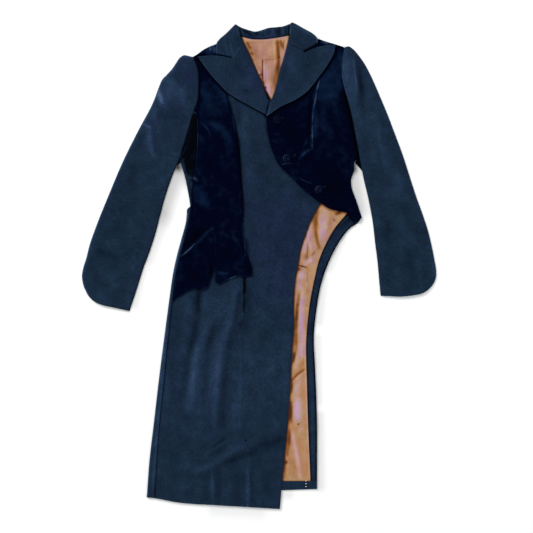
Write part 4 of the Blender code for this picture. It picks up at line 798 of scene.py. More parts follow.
class COAT_PG_colours(PropertyGroup):
    """Colours of the cloths and threads"""

    wool_black: register_colour("Wool in deep shade", "Wool, black", (0.0003, 0.0007, 0.0024))
    # wool_dark is the painted shade and the darker random patches of the wool, and wool_light its painted
    # highlight
    wool_dark: register_colour("Wool where it is pressed", "Wool, dark", (0.0034, 0.0084, 0.0185))
    wool: register_colour("Navy wool", "Wool", (0.0080, 0.0180, 0.0364))
    wool_light: register_colour("Wool where it is brushed up", "Wool, light", (0.0390, 0.0660, 0.1250))
    # Velvet along its tone: the dark colour is painted shade, the brushed colour painted highlight and lighter
    # random patches, and the light colour painted highlight
    velvet_dark: register_colour("Velvet seen into its pile", "Velvet, dark", (0.0001, 0.0002, 0.0015))
    velvet: register_colour("Midnight blue velvet", "Velvet", (0.0002, 0.0010, 0.0078))
    velvet_brushed_and_lit: register_colour(
        "Velvet where it is brushed over", "Velvet, brushed", (0.0028, 0.0094, 0.0290))
    velvet_light: register_colour("Velvet seen along its pile", "Velvet, light", (0.0420, 0.0680, 0.1300))
    # Satin along its tone: the dark and brown colours are the painted shade of its folds, and the light colour
    # its painted lilac sheen
    satin_dark: register_colour("Satin in its folds", "Satin, dark", (0.0600, 0.0170, 0.0060))
    satin_brown: register_colour("Satin beside its folds", "Satin, brown", (0.2100, 0.0820, 0.0210))
    satin: register_colour("Copper satin", "Satin", (0.3880, 0.2240, 0.1100))
    satin_light: register_colour("Satin's lilac sheen", "Satin, light", (0.4750, 0.3160, 0.3350))
    thread: register_colour("Navy sewing thread", "Thread", (0.0050, 0.0085, 0.0220))
    hem_thread: register_colour(
        "Pale thread of the three hem stitches", "Hem thread", (0.8500, 0.7600, 0.5600))
    floor: register_colour("Surface that the coat lies on", "Floor", (0.9300, 0.9300, 0.9250))


class COAT_PG_buttons(PropertyGroup):
    """Sizes of the covered buttons"""

    radius: register_length("Half the width of a button", "Radius", 0.0115, 0.005, 0.02)
    height: register_length("Height of a button at its middle", "Height", 0.0055, 0.002, 0.01)
    rim: register_length("Width of the raised ring at the rim", "Rim", 0.0028, 0.001, 0.006)
    sides: IntProperty(name="Sides", description="Sides of a button's outline", default=48, min=12, max=96)


class COAT_PG_stage(PropertyGroup):
    """Floor, camera and light"""

    frame_width: register_length("Width of the photographed field at the coat", "Field", 1.3325, 0.5, 4.0)
    camera_height: register_length("Height of the camera above the surface", "Camera height", 6.0, 2.0, 20.0)
    camera_x: register_length("Middle of the field across the coat", "Camera across", 0.0186, -0.5, 0.5)
    camera_y: register_length("Middle of the field along the coat", "Camera along", -0.0026, -0.5, 0.5)
    floor_size: register_length("Side of the pale floor", "Floor", 40.0, 4.0, 200.0)
    key_power: FloatProperty(
        name="Key light", description="Power of the soft light from the upper left, in watts",
        default=150.0, min=0.0, max=2000.0)
    fill_power: FloatProperty(
        name="Fill light", description="Power of the soft light from the right, in watts",
        default=34.0, min=0.0, max=2000.0)
    sky: FloatProperty(
        name="Surround", description="Strength of the white surround", default=0.62, min=0.0, max=4.0)


def smooth_line(points, step=LINE_STEP):
    """Dense points of the smooth line through the points of an edge."""
    given = straight_line(points)
    longer = np.vstack([2 * given[0] - given[1], given, 2 * given[-1] - given[-2]])
    pieces = []
    for a, b, c, d in zip(longer[:-3], longer[1:-2], longer[2:-1], longer[3:]):
        span = np.linalg.norm(c - b)
        count = max(2, int(math.ceil(span / step)))
        before = max(np.linalg.norm(b - a), 1e-6)
        after = max(np.linalg.norm(d - c), 1e-6)
        tangent_b = span * ((b - a) / before + (c - b) / span) / 2
        tangent_c = span * ((c - b) / span + (d - c) / after) / 2
        t = np.linspace(0, 1, count, endpoint=False)[:, None]
        pieces.append(
            (2 * t**3 - 3 * t**2 + 1) * b + (t**3 - 2 * t**2 + t) * tangent_b
            + (3 * t**2 - 2 * t**3) * c + (t**3 - t**2) * tangent_c)
    return np.vstack(pieces + [given[-1:]])


def straight_line(points):
    """The points themselves, where an outline keeps its corners."""
    return np.array(points, float)


def moved(line, across=0.0, down=0.0):
    """The line moved as it is."""
    return line + np.array([across, down])


def y_of(down):
    """Y in metres of a level down the coat."""
    return (COAT_LENGTH / 2 - down) / 1000


def x_at(line, down):
    """x of a line that runs steadily down, at a level."""
    return np.interp(down, line[:, 1], line[:, 0])


def between(line, down_start, down_end):
    """The stretch of a line that runs down from one level to another."""
    levels = line[:, 1]
    inside = line[(levels > down_start) & (levels < down_end)]
    return np.vstack([[x_at(line, down_start), down_start], inside, [x_at(line, down_end), down_end]])


def lengths(line):
    """Length along a line up to each of its points."""
    return np.concatenate([[0], np.cumsum(np.linalg.norm(np.diff(line, axis=0), axis=1))])


def along(line, shares):
    """Points at given shares of a line's length."""
    length = lengths(line)
    wanted = np.asarray(shares) * length[-1]
    return np.stack([np.interp(wanted, length, line[:, 0]), np.interp(wanted, length, line[:, 1])], axis=-1)


def trimmed(line, start=0.0, end=0.0):
    """The line cut short at its ends by lengths along it."""
    length = lengths(line)
    inside = line[(length > start) & (length < length[-1] - end)]
    first, last = along(line, [start / length[-1], 1 - end / length[-1]])
    return np.vstack([first, inside, last])


def joined(*lines):
    """One line from several that follow each other."""
    return np.vstack(lines)


def ends(start, end):
    """A straight edge between two points."""
    return np.array([start, end])


def inset(line, distance):
    """The line moved sideways, to the left of its run down the page where distance is positive."""
    run = np.gradient(line, axis=0)
    run = run / np.maximum(np.linalg.norm(run, axis=1, keepdims=True), 1e-6)
    return line + distance * np.stack([run[:, 1], -run[:, 0]], axis=-1)


def line_length(line):
    """Whole length of a line."""
    return np.linalg.norm(np.diff(line, axis=0), axis=1).sum()


def soft_step(t):
    """Rises from 0 to 1 as t does, level at both ends."""
    t = np.clip(t, 0, 1)
    return t * t * (3 - 2 * t)


def marks(rows, x, down):
    """Sum of the soft marks of a table at a place. A mark bows sideways and fades out at its ends."""
    total = np.zeros(np.shape(x))
    for x1, down1, x2, down2, width, height, bow in rows:
        run = np.array([x2 - x1, down2 - down1], float)
        length = np.linalg.norm(run)
        place = ((x - x1) * run[0] + (down - down1) * run[1]) / length**2
        share = np.clip(place, 0, 1)
        aside = ((x - x1) * run[1] - (down - down1) * run[0]) / length - 4 * bow * share * (1 - share)
        beyond = (place - share) * length
        taper = MARK_END_SHARE + (1 - MARK_END_SHARE) * np.sqrt(np.sin(math.pi * share))
        total = total + height * taper * np.exp(-(aside**2 + beyond**2) / width**2)
    return total


def painted_line_marks(rows, x, down):
    """Sum of the marks along the lines of a table, by the distance from each line."""
    total = np.zeros(np.shape(x))
    for line, width, strength in rows:
        points = smooth_line(line, PAINTED_LINE_STEP)
        nearest = np.full(np.shape(x), 1e9)
        for (x1, down1), (x2, down2) in zip(points[:-1], points[1:]):
            run = np.array([x2 - x1, down2 - down1])
            share = np.clip(((x - x1) * run[0] + (down - down1) * run[1]) / max(run @ run, 1e-9), 0, 1)
            nearest = np.minimum(nearest, np.hypot(x - x1 - share * run[0], down - down1 - share * run[1]))
        total = total + strength * np.exp(-((nearest / width) ** 2))
    return total


def creased(rows, x, down):
    """Height that the creases of a table add at a place."""
    return marks(rows, x, down) * bpy.context.scene.coat_cloth.crease_depth


def neck_lift(x, down, reach=0.0):
    """Rise of every layer over the fall of the collar. The upper layers come down further out."""
    beyond_x = np.maximum(np.abs(x - NECK_MIDDLE) - NECK_HALF_WIDTH - reach, 0)
    beyond_down = np.maximum(down - NECK_DEPTH - reach, 0)
    return NECK_LIFT * (1 - soft_step(np.hypot(beyond_x, beyond_down) / NECK_FADE))


def front_lift(x, down):
    """Rise of the layers from the fronts up: over the collar's fall and along the wool's creases."""
    return neck_lift(x, down, UPPER_NECK_REACH) + creased(FRONT_CREASES, x, down)


def surface_seat(x, down, across=None):
    """Lower face of a piece that lies flat. Every seat is worked out in the same way from a place."""
    return np.zeros(np.shape(x))


def back_seat(x, down, across=None):
    """The back lies over the collar's fall at the neck."""
    return BACK_LAYER + neck_lift(x, down)


def plain_lining_seat(x, down, across=None):
    """The layer next to the back, without folds."""
    return LINING_LAYER + neck_lift(x, down, UPPER_NECK_REACH)


def neck_lining_seat(x, down, across=None):
    """The satin lies free in the open neck and flat under the fronts."""
    left = x - x_at(smooth_line(ROLL_LEFT_OPEN), down)
    right = x_at(smooth_line(ROLL_RIGHT), down) - x
    free = soft_step(np.minimum(left, right) / LINING_FREE)
    return plain_lining_seat(x, down) + creased(NECK_CREASES, x, down) * free


def tail_lining_seat(x, down, across=None):
    """The satin lies free beside the skirt's edge and flat under it."""
    free = soft_step((x - x_at(smooth_line(SKIRT_EDGE), down)) / LINING_FREE)
    start = TAIL_SATIN_START + (x - TAIL_SATIN_X) * TAIL_SATIN_SLOPE
    below_velvet = soft_step((down - start) / TAIL_SATIN_FADE)
    return plain_lining_seat(x, down) + creased(TAIL_CREASES, x, down) * free * below_velvet


def front_seat(x, down, across=None):
    """The wool fronts lie over the linings, and carry the long folds."""
    return FRONT_LAYER + front_lift(x, down)


def velvet_left_seat(x, down, across=None):
    """The left velvet is level with the wool in the bodice and lies over the skirt below the waist."""
    over = soft_step((down - CLIMB_START) / CLIMB_LENGTH)
    own = creased(VELVET_LEFT_CREASES, x, down)
    return FRONT_LAYER + (OVER_LAYER - FRONT_LAYER) * over + front_lift(x, down) + own


def velvet_right_seat(x, down, across=None):
    """The right velvet lies over the underlap and sinks to the front layer beyond it."""
    lap = smooth_line(UNDERLAP_EDGE)
    beside = soft_step((x - x_at(lap, down) - LAP_BESIDE) / LAP_SLOPE)
    below_neck = soft_step((down - LAP_START) / LAP_LENGTH)
    over = (1 - beside) * below_neck
    own = creased(VELVET_RIGHT_CREASES, x, down)
    return FRONT_LAYER + (OVER_LAYER - FRONT_LAYER) * over + front_lift(x, down) + own


def roll_sink(roll, x, down):
    """Share of a collar piece's sink beside the line that it rolls over."""
    return 1 - soft_step(np.abs(x - x_at(smooth_line(roll), down)) / ROLL_WIDTH)


def lapel_left_seat(x, down, across=None):
    """The left lapel lies over the left velvet, and sinks at its roll while the neck is open."""
    sink = roll_sink(ROLL_LEFT_OPEN, x, down) * (1 - soft_step((down - LEFT_NECK_CLOSES) / NECK_CLOSING))
    beneath = front_lift(x, down) + creased(VELVET_LEFT_CREASES, x, down)
    return OVER_LAYER - (OVER_LAYER - FRONT_LAYER) * sink + beneath + creased(COLLAR_CREASES, x, down)


def lapel_right_seat(x, down, across=None):
    """The right lapel lies over the right velvet, and over the left lapel where the neck closes."""
    closing = soft_step((down - RIGHT_NECK_CLOSES) / NECK_CLOSING)
    sink = roll_sink(ROLL_RIGHT, x, down) * (1 - closing)
    high = np.maximum(velvet_right_seat(x, down) + VELVET + GAP, (OVER_LAYER + VELVET + GAP) * closing)
    return high - (high - FRONT_LAYER - front_lift(x, down)) * sink + creased(COLLAR_CREASES, x, down)


def leaf_left_seat(x, down, across=None):
    """The left collar leaf."""
    return leaf_seat(ROLL_LEFT[:5], x, down)


def leaf_right_seat(x, down, across=None):
    """The right collar leaf."""
    return leaf_seat(ROLL_RIGHT[:5], x, down)


def leaf_seat(roll, x, down):
    """A collar leaf lies over the shoulder and sinks to the stand at the roll."""
    lift = front_lift(x, down) + creased(COLLAR_CREASES, x, down)
    return OVER_LAYER - (OVER_LAYER - FRONT_LAYER) * roll_sink(roll, x, down) + lift


def sleeve_seat(x, down, across):
    """Lower face of a sleeve's upper side, rounded across and fuller at the head."""
    head = 1 - soft_step((down - SLEEVE_HEAD_START) / SLEEVE_HEAD_LENGTH)
    crown = SLEEVE_CROWN + (SLEEVE_HEAD_CROWN - SLEEVE_CROWN) * head
    rounding = np.sin(math.pi * np.clip(across, 0, 1)) ** SLEEVE_ROUNDING
    own = creased(SLEEVE_LEFT_CREASES, x, down) + creased(SLEEVE_RIGHT_CREASES, x, down)
    return LINING_LAYER + (crown + own) * rounding


def edge_shares(width, count, start_steps, end_steps):
    """Shares across a row: fine steps in from its ends and even ones between."""
    start = np.cumsum(start_steps)
    end = np.cumsum(end_steps)
    scale = min(1.0, width * EDGE_SHARE / (start[-1] + end[-1]))
    first = start * scale / width
    last = 1 - end[::-1] * scale / width
    even = np.linspace(first[-1], last[0], count + 1)
    return np.concatenate([[0.0], first[:-1], even, last[1:], [1.0]])


def plan_grid(left, right, top=None, bottom=None, fineness="near", turned=()):
    """Grid of plan points between four edges, in rows that run to the right.

    A top or bottom that isn't given is straight. fineness is near, front or under.
    """
    top = ends(left[0], right[0]) if top is None else top
    bottom = ends(left[-1], right[-1]) if bottom is None else bottom
    spacing = getattr(bpy.context.scene.coat_cloth, fineness + "_spacing") * 1000
    steps = {side: TURN_STEPS if side in turned else EDGE_STEPS for side in SIDES}
    height = (line_length(left) + line_length(right)) / 2
    samples = np.linspace(0, 1, WIDTH_SAMPLES)
    widths = np.linalg.norm(along(left, samples) - along(right, samples), axis=1)
    columns = max(3, round(widths.max() / spacing))
    rows = max(3, round(height / spacing))
    downs = edge_shares(height, rows, steps["top"], steps["bottom"])
    left_points = along(left, downs)
    right_points = along(right, downs)
    grid = []
    for v, a, b in zip(downs, left_points, right_points):
        width = max(np.linalg.norm(b - a), LEAST_WIDTH)
        u = edge_shares(width, columns, steps["left"], steps["right"])
        across = u[:, None]
        corners = (
            (1 - across) * (1 - v) * top[0] + across * (1 - v) * top[-1]
            + (1 - across) * v * bottom[0] + across * v * bottom[-1])
        upper = (1 - v) * along(top, u)
        lower = v * along(bottom, u)
        grid.append(upper + lower + (1 - across) * a + across * b - corners)
    return np.array(grid)


def side_distances(plan):
    """Distance of each grid point from each side, along its row or column."""
    rows = np.linalg.norm(np.diff(plan, axis=1), axis=2)
    columns = np.linalg.norm(np.diff(plan, axis=0), axis=2)
    left = np.concatenate([np.zeros((len(plan), 1)), np.cumsum(rows, axis=1)], axis=1)
    top = np.concatenate([np.zeros((1, plan.shape[1])), np.cumsum(columns, axis=0)], axis=0)
    return {"left": left, "right": left[:, -1:] - left, "top": top, "bottom": top[-1:] - top}


def rolled(distance):
    """Height share of a turned edge at a distance in from it: a quarter of a soft oval."""
    t = np.clip(distance / TURN_ROLL, 0, 1)
    return (1 - (1 - t) ** ROLL_POWER) ** (1 / ROLL_POWER)


def fabric(node, plan, seat, thickness, cloth, turned=None, curled=(), grooves=(), troughs=(), tones=(),
           painted_lines=(), hem_line=None, grain=0.0, rests_on=()):
    """A cloth piece over a plan grid, in place of the node of that name.

    turned names the sides that roll down to the surface and where, curled the free sides, grooves cut
    the upper face and troughs the lower one, and hem_line is the depth of a pressed hem.
    """
    turned = turned or {}
    x = plan[:, :, 0]
    down = plan[:, :, 1]
    distance = side_distances(plan)
    across = distance["left"] / np.maximum(distance["left"][:, -1:], 1e-6)
    lower = seat(x, down, across)
    for side in curled:
        lower = lower + curl_of(distance[side], x, down)
    upper = lower + thickness - np.clip(creased(grooves, x, down), 0, GROOVE_LIMIT * thickness)
    if hem_line:
        upper = upper - HEM_LINE_DEPTH * np.exp(-((distance["bottom"] - hem_line) / HEM_LINE_WIDTH) ** 2)
    lower = lower + np.clip(creased(troughs, x, down), 0, GROOVE_LIMIT * thickness)
    radius = thickness / 2
    for side in SIDES:
        away = np.clip(distance[side] / radius, 0, 1)
        drop = EDGE_ROUNDING * radius * (1 - np.sqrt(1 - (1 - away) ** 2))
        share = turned[side](x, down) if side in turned else np.zeros(x.shape)
        turned_upper = np.minimum(upper, radius + (upper - radius) * rolled(distance[side]))
        turned_lower = TURN_FOOT + (lower - TURN_FOOT) * rolled(np.maximum(distance[side] - thickness, 0))
        upper = (upper - drop) * (1 - share) + turned_upper * share
        lower = (lower + drop) * (1 - share) + turned_lower * share
    upper = np.maximum(upper, lower + LEAST_WALL)
    nearest = np.minimum.reduce([distance[side] for side in SIDES])
    # The edge is paler for a little way: painted highlight along the rim, and worn fuzz
    fuzz_and_light = EDGE_FUZZ_AND_LIGHT * np.exp(-((nearest / EDGE_FUZZ_AND_LIGHT_REACH) ** 2))
    # The tone adds up the painted shade and painted highlights of the strokes and of the painted lines, and the
    # paler edge
    tone = marks(tones, x, down) + painted_line_marks(painted_lines, x, down) + fuzz_and_light
    piece = wall(node + "_cloth", plan, lower, upper, grain)
    paint(piece.data, TONE, tone)
    # The hue is partly the cloth's own uneven hue and partly painted light, as in its table
    paint(piece.data, HUE, marks(HUE_STROKES, x, down))
    piece.data.materials.append(cloth_material(cloth))
    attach(piece, BODY)
    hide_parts(node)


def curl_of(distance, x, down):
    """Lift of a free edge, uneven along it."""
    curl = bpy.context.scene.coat_cloth.curl * 1000
    waves = sum(share * np.sin(x / wide + down / long) for share, wide, long in CURL_WAVES)
    uneven = CURL_MEAN + waves
    return curl * uneven * np.exp(-((distance / CURL_REACH) ** 2))


def paint(mesh, name, values):
    """A value from -1 to 1 at each place of a cloth, the same above and below, kept as 0 to 1."""
    layer = mesh.attributes.new(name, "FLOAT", "POINT")
    layer.data.foreach_set("value", np.tile(np.clip(0.5 + 0.5 * values.ravel(), 0, 1), 2).astype(np.float32))


def wall(name, plan, lower, upper, grain):
    """Mesh of a cloth wall: upper and lower faces, the rim between them and its grain."""
    rows, columns = plan.shape[:2]
    flat = plan.reshape(-1, 2)
    points = np.zeros((2 * len(flat), 3))
    points[:, 0] = np.tile(flat[:, 0], 2) / 1000
    points[:, 1] = y_of(np.tile(flat[:, 1], 2))
    points[:, 2] = np.concatenate([upper.ravel(), lower.ravel()]) / 1000
    index = np.arange(rows * columns).reshape(rows, columns)
    a, b, c, d = index[:-1, :-1], index[1:, :-1], index[1:, 1:], index[:-1, 1:]
    under = rows * columns
    top_faces = np.stack([a, b, c, d], axis=-1).reshape(-1, 4)
    bottom_faces = np.stack([a, d, c, b], axis=-1).reshape(-1, 4) + under
    ring = np.concatenate([index[0], index[1:, -1], index[-1, -2::-1], index[-2:0:-1, 0]])
    following = np.roll(ring, -1)
    rim = np.stack([ring, following, following + under, ring + under], axis=-1)
    faces = np.vstack([top_faces, bottom_faces, rim])
    mesh = bpy.data.meshes.new(name)
    mesh.from_pydata(points.tolist(), [], faces.tolist())
    mesh.update()
    mesh.shade_smooth()
    turn = math.radians(grain)
    grain_x = (flat[:, 0] * math.cos(turn) - flat[:, 1] * math.sin(turn)) / 1000
    grain_y = (flat[:, 0] * math.sin(turn) + flat[:, 1] * math.cos(turn)) / 1000
    corners = faces.ravel() % under
    layer = mesh.uv_layers.new(name=GRAIN_MAP)
    layer.data.foreach_set("uv", np.stack([grain_x[corners], grain_y[corners]], axis=-1).ravel())
    piece = bpy.data.objects.new(name, mesh)
    bpy.context.scene.collection.objects.link(piece)
    return piece


def everywhere(x, down):
    """Share of a side that turns down to the surface: all of it."""
    return np.ones(np.shape(x))


def above(level):
    """Share of a side that turns: the part above a level."""
    return lambda x, down: 1 - soft_step((down - level + TURN_FADE) / TURN_FADE)


def below(level):
    """Share of a side that turns: the part below a level."""
    return lambda x, down: soft_step((down - level) / TURN_FADE)


def right_of(place):
    """Share of a side that turns: the part to the right of a place."""
    return lambda x, down: soft_step((x - place) / TURN_FADE)


class Look:
    """Node tree of one material, with short calls for the nodes that the cloths share."""

    def __init__(self, name, surface):
        self.material = bpy.data.materials.new(name)
        self.material.use_nodes = True
        self.tree = self.material.node_tree
        self.shader = self.tree.nodes["Principled BSDF"]
        self.feed(self.shader, surface)

    def feed(self, node, sockets):
        """Gives each named or numbered input of a node its value, or links it to its source."""
        for key, value in sockets.items():
            if isinstance(value, bpy.types.NodeSocket):
                self.tree.links.new(value, node.inputs[key])
            else:
                node.inputs[key].default_value = value

    def add(self, kind, sockets, **settings):
        """A new node with its settings and its inputs."""
        node = self.tree.nodes.new("ShaderNode" + kind)
        for name, value in settings.items():
            setattr(node, name, value)
        self.feed(node, sockets)
        return node

    def grain(self, turn=0.0, stretch=(1.0, 1.0, 1.0)):
        """The cloth's own grain, in metres, turned and stretched."""
        uv = self.add("UVMap", {}, uv_map=GRAIN_MAP).outputs["UV"]
        sockets = {"Vector": uv, "Rotation": (0, 0, math.radians(turn)), "Scale": stretch}
        return self.add("Mapping", sockets).outputs["Vector"]

    def place(self):
        """Object coordinates, in metres."""
        return self.add("TexCoord", {}).outputs["Object"]

    def noise(self, vector, size, detail=3.0, rough=0.5):
        """Soft blotches of about a size, in metres."""
        sockets = {"Vector": vector, "Scale": 1 / size, "Detail": detail, "Roughness": rough}
        return self.add("TexNoise", sockets).outputs["Fac"]

    def ribs(self, vector, pitch, distortion=0.0):
        """Even ribs across the first axis, a pitch apart in metres."""
        sockets = {"Vector": vector, "Scale": math.pi / 10 / pitch, "Distortion": distortion, "Detail": 1.0}
        wave = self.add("TexWave", sockets, wave_type="BANDS", bands_direction="X", wave_profile="SIN")
        return wave.outputs["Fac"]

    def math(self, operation, first, second):
        """Sum, product and so on of two values or sources."""
        return self.add("Math", {0: first, 1: second}, operation=operation).outputs["Value"]

    def vector(self, operation, sockets):
        """Outputs of a vector operation."""
        return self.add("VectorMath", sockets, operation=operation).outputs

    def scaled(self, colour, factor):
        """The colour made darker or lighter by a factor."""
        return self.vector("SCALE", {0: colour, "Scale": factor})["Vector"]

    def tinted(self, colour, value, low, high, darkest, lightest):
        """The colour scaled by a gain from darkest to lightest, as a value goes from low to high."""
        sockets = {"Value": value, "From Min": low, "From Max": high, "To Min": darkest, "To Max": lightest}
        return self.scaled(colour, self.add("MapRange", sockets).outputs["Result"])

    def near(self, place, row):
        """One on the line of a stroke, fading with the distance from it."""
        start = Vector((row.x1 / 1000, y_of(row.down1), 0))
        run = Vector((row.x2 / 1000, y_of(row.down2), 0)) - start
        away = self.vector("SUBTRACT", {0: place, 1: start})["Vector"]
        share = self.vector("DOT_PRODUCT", {0: away, 1: run / run.length_squared})["Value"]
        kept = self.add("Clamp", {"Value": share}).outputs["Result"]
        foot = self.vector("SCALE", {0: run, "Scale": kept})["Vector"]
        aside = self.vector("DISTANCE", {0: away, 1: foot})["Value"]
        reach = self.math("DIVIDE", aside, row.width / 1000)
        return self.math("POWER", math.exp(-1), self.math("MULTIPLY", reach, reach))

    def ramp(self, factor, *stops):
        """Colours at places from 0 to 1, each stop a place and a colour."""
        ramp = self.add("ValToRGB", {"Fac": factor})
        elements = ramp.color_ramp.elements
        while len(elements) < len(stops):
            elements.new(0.5)
        for element, (position, colour) in zip(elements, stops):
            element.position = position
            element.color = (*colour, 1.0)
        return ramp.outputs["Color"]

    def toned(self, colour, cast):
        """The colour multiplied by another that varies over the cloth."""
        sockets = {"Factor": 1.0, "A": colour, "B": cast}
        return self.add("Mix", sockets, data_type="RGBA", blend_type="MULTIPLY").outputs["Result"]

    def painted(self, name, uneven, amount):
        """A painted value, with uneven patches added to it."""
        painted = self.add("Attribute", {}, attribute_name=name).outputs["Fac"]
        patch = self.math("MULTIPLY", self.math("SUBTRACT", uneven, 0.5), amount)
        return self.math("ADD", painted, patch)

    def bump(self, height, depth, strength=1.0, below=None):
        """Normal of a surface that a height raises, over the one below it where that is given."""
        sockets = {"Height": height, "Distance": depth, "Strength": strength}
        if below is not None:
            sockets["Normal"] = below
        return self.add("Bump", sockets).outputs["Normal"]

    def finish(self, colour, normal):
        """The material, with its colour and its normal."""
        self.feed(self.shader, {"Base Color": colour, "Normal": normal})
        return self.material


def wool_material(name):
    """Dense twill with a soft raised surface, a little uneven in random patches, with painted shade in its
    folds and painted highlights on its ridges.
    """
    cloth = bpy.context.scene.coat_cloth
    colours = bpy.context.scene.coat_colours
    look = Look(name, {
        "Roughness": 0.92, "Specular IOR Level": 0.022, "Sheen Weight": 0.05, "Sheen Roughness": 0.3,
        "Sheen Tint": (0.30, 0.48, 0.80, 1.0)})
    place = look.place()
    tone = look.painted(TONE, look.noise(place, 0.034, detail=5.0, rough=0.66), 0.50)
    # pressed is the wool's painted highlight and lighter random patches: the plain wool made brighter by the
    # gain
    pressed = tuple(WOOL_HIGHLIGHT_GAIN * c for c in colours.wool)
    colour = look.ramp(
        tone, (0.0, colours.wool_black), (0.24, colours.wool_dark), (0.5, colours.wool), (0.75, pressed),
        (1.0, colours.wool_light))
    hue = look.painted(HUE, look.noise(place, 0.022), 1.3)
    colour = look.toned(colour, look.ramp(hue, (0.0, TEAL_CAST), (0.5, NO_CAST), (1.0, VIOLET_CAST)))
    colour = look.tinted(colour, look.noise(place, 0.0042, rough=0.7), 0.32, 0.68, 0.74, 1.28)
    fleck = look.noise(look.grain(), 0.0011, detail=2.0, rough=0.7)
    colour = look.tinted(colour, fleck, 0.3, 0.7, 0.82, 1.20)
    twill = look.ribs(look.grain(turn=32), cloth.wool_pitch, distortion=0.6)
    normal = look.bump(twill, 0.00012, strength=0.5)
    normal = look.bump(look.noise(look.grain(), 0.0006, rough=0.6), 0.00022, strength=0.5, below=normal)
    normal = look.bump(look.noise(place, 0.011), 0.0009, strength=0.6, below=normal)
    return look.finish(colour, normal)


def pile_colour(look, tone):
    """Velvet along its tone: black in painted shade, its own midnight blue, paler blue in lighter patches and
    painted highlights, and light blue in the strongest painted highlights.
    """
    colours = bpy.context.scene.coat_colours
    return look.ramp(
        tone, (0.12, colours.velvet_dark), (0.5, colours.velvet), (0.72, colours.velvet_brushed_and_lit),
        (1.0, colours.velvet_light))


def velvet_material(name):
    """Short pile in soft uneven patches, with painted shade and painted highlights along its creases, seams and
    edges.
    """
    look = Look(name, {
        "Roughness": 0.8, "Specular IOR Level": 0.01, "Sheen Weight": 0.10, "Sheen Roughness": 0.24,
        "Sheen Tint": (0.07, 0.20, 0.62, 1.0)})
    place = look.place()
    tone = look.painted(TONE, look.noise(place, 0.022, detail=5.0, rough=0.62), 0.44)
    pile = look.noise(look.grain(stretch=(1.0, 0.6, 1.0)), 0.0007, rough=0.7)
    colour = look.tinted(pile_colour(look, tone), pile, 0.3, 0.7, 0.70, 1.34)
    normal = look.bump(pile, 0.0003, strength=0.55)
    normal = look.bump(look.noise(place, 0.008), 0.0009, strength=0.5, below=normal)
    return look.finish(colour, normal)


def button_material(name):
    """The velvet stretched over a button, with the painted highlights of its ring and dome and the painted
    shade of its groove.
    """
    look = Look(name, {
        "Roughness": 0.7, "Specular IOR Level": 0.03, "Sheen Weight": 0.12, "Sheen Roughness": 0.3,
        "Sheen Tint": (0.12, 0.26, 0.62, 1.0)})
    place = look.place()
    tone = look.painted(TONE, look.noise(place, 0.004), 0.3)
    normal = look.bump(look.noise(place, 0.0007), 0.0003, strength=0.5)
    return look.finish(pile_colour(look, tone), normal)


def satin_material(name):
    """Copper satin with a painted lilac sheen, painted shade in its folds, and fine ribs along the thread that
    shows.
    """
    cloth = bpy.context.scene.coat_cloth
    colours = bpy.context.scene.coat_colours
    look = Look(name, {
        "Roughness": 0.38, "Specular IOR Level": 0.12, "Anisotropic": 0.45, "Sheen Weight": 0.03,
        "Sheen Tint": (1.0, 0.62, 0.66, 1.0)})
    place = look.place()
    tone = look.painted(TONE, look.noise(place, 0.016, detail=4.0, rough=0.6), 0.30)
    colour = look.ramp(
        tone, (0.0, colours.satin_dark), (0.24, colours.satin_brown), (0.5, colours.satin),
        (0.92, colours.satin_light))
    hue = look.painted(HUE, look.noise(place, 0.026), 1.6)
    colour = look.toned(colour, look.ramp(hue, (0.1, ORANGE_CAST), (0.5, NO_CAST), (1.0, ROSE_CAST)))
    slub = look.noise(look.grain(stretch=(0.12, 1.0, 1.0)), 0.0009, detail=2.0, rough=0.6)
    colour = look.tinted(colour, slub, 0.3, 0.7, 0.92, 1.08)
    ribs = look.ribs(look.grain(turn=90), cloth.satin_pitch, distortion=0.3)
    normal = look.bump(ribs, 0.00005, strength=0.3)
    normal = look.bump(look.noise(place, 0.006), 0.0006, strength=0.5, below=normal)
    return look.finish(colour, normal)


def thread_material(name, colour):
    """Twisted sewing thread."""
    look = Look(name, {"Roughness": 0.7, "Specular IOR Level": 0.06, "Sheen Weight": 0.05})
    fibres = look.noise(look.place(), 0.0005, detail=2.0)
    shade = look.ramp(fibres, (0.3, tuple(c * 0.75 for c in colour)), (0.7, tuple(colour)))
    return look.finish(shade, look.bump(fibres, 0.0001, strength=0.5))


def floor_material(colour):
    """Plain pale board, with the soft shade that the sleeves and the tail leave beside them."""
    look = Look("pale_board", {"Roughness": 0.85, "Specular IOR Level": 0.2})
    place = look.place()
    cloud = look.noise(place, 0.4, detail=2.0)
    board = look.ramp(cloud, (0.3, tuple(c * 0.985 for c in colour)), (0.7, tuple(colour)))
    light = 1.0
    for row in FLOOR_SHADES:
        light = look.math("SUBTRACT", light, look.math("MULTIPLY", look.near(place, row), row.strength))
    return look.finish(look.scaled(board, light), look.bump(look.noise(place, 0.004), 0.0001, strength=0.1))


def made_once(name, make):
    """The material of a name, made the first time that it is asked for."""
    return bpy.data.materials.get(name) or make(name)


def cloth_material(kind):
    """The material of a cloth."""
    if kind == "wool":
        return made_once("wool_navy", wool_material)
    if kind == "velvet":
        return made_once("velvet_midnight", velvet_material)
    return made_once("satin_copper", satin_material)


def sewing_thread():
    """The navy thread of the shanks and buttonholes."""
    return made_once("thread_navy", lambda name: thread_material(name, bpy.context.scene.coat_colours.thread))


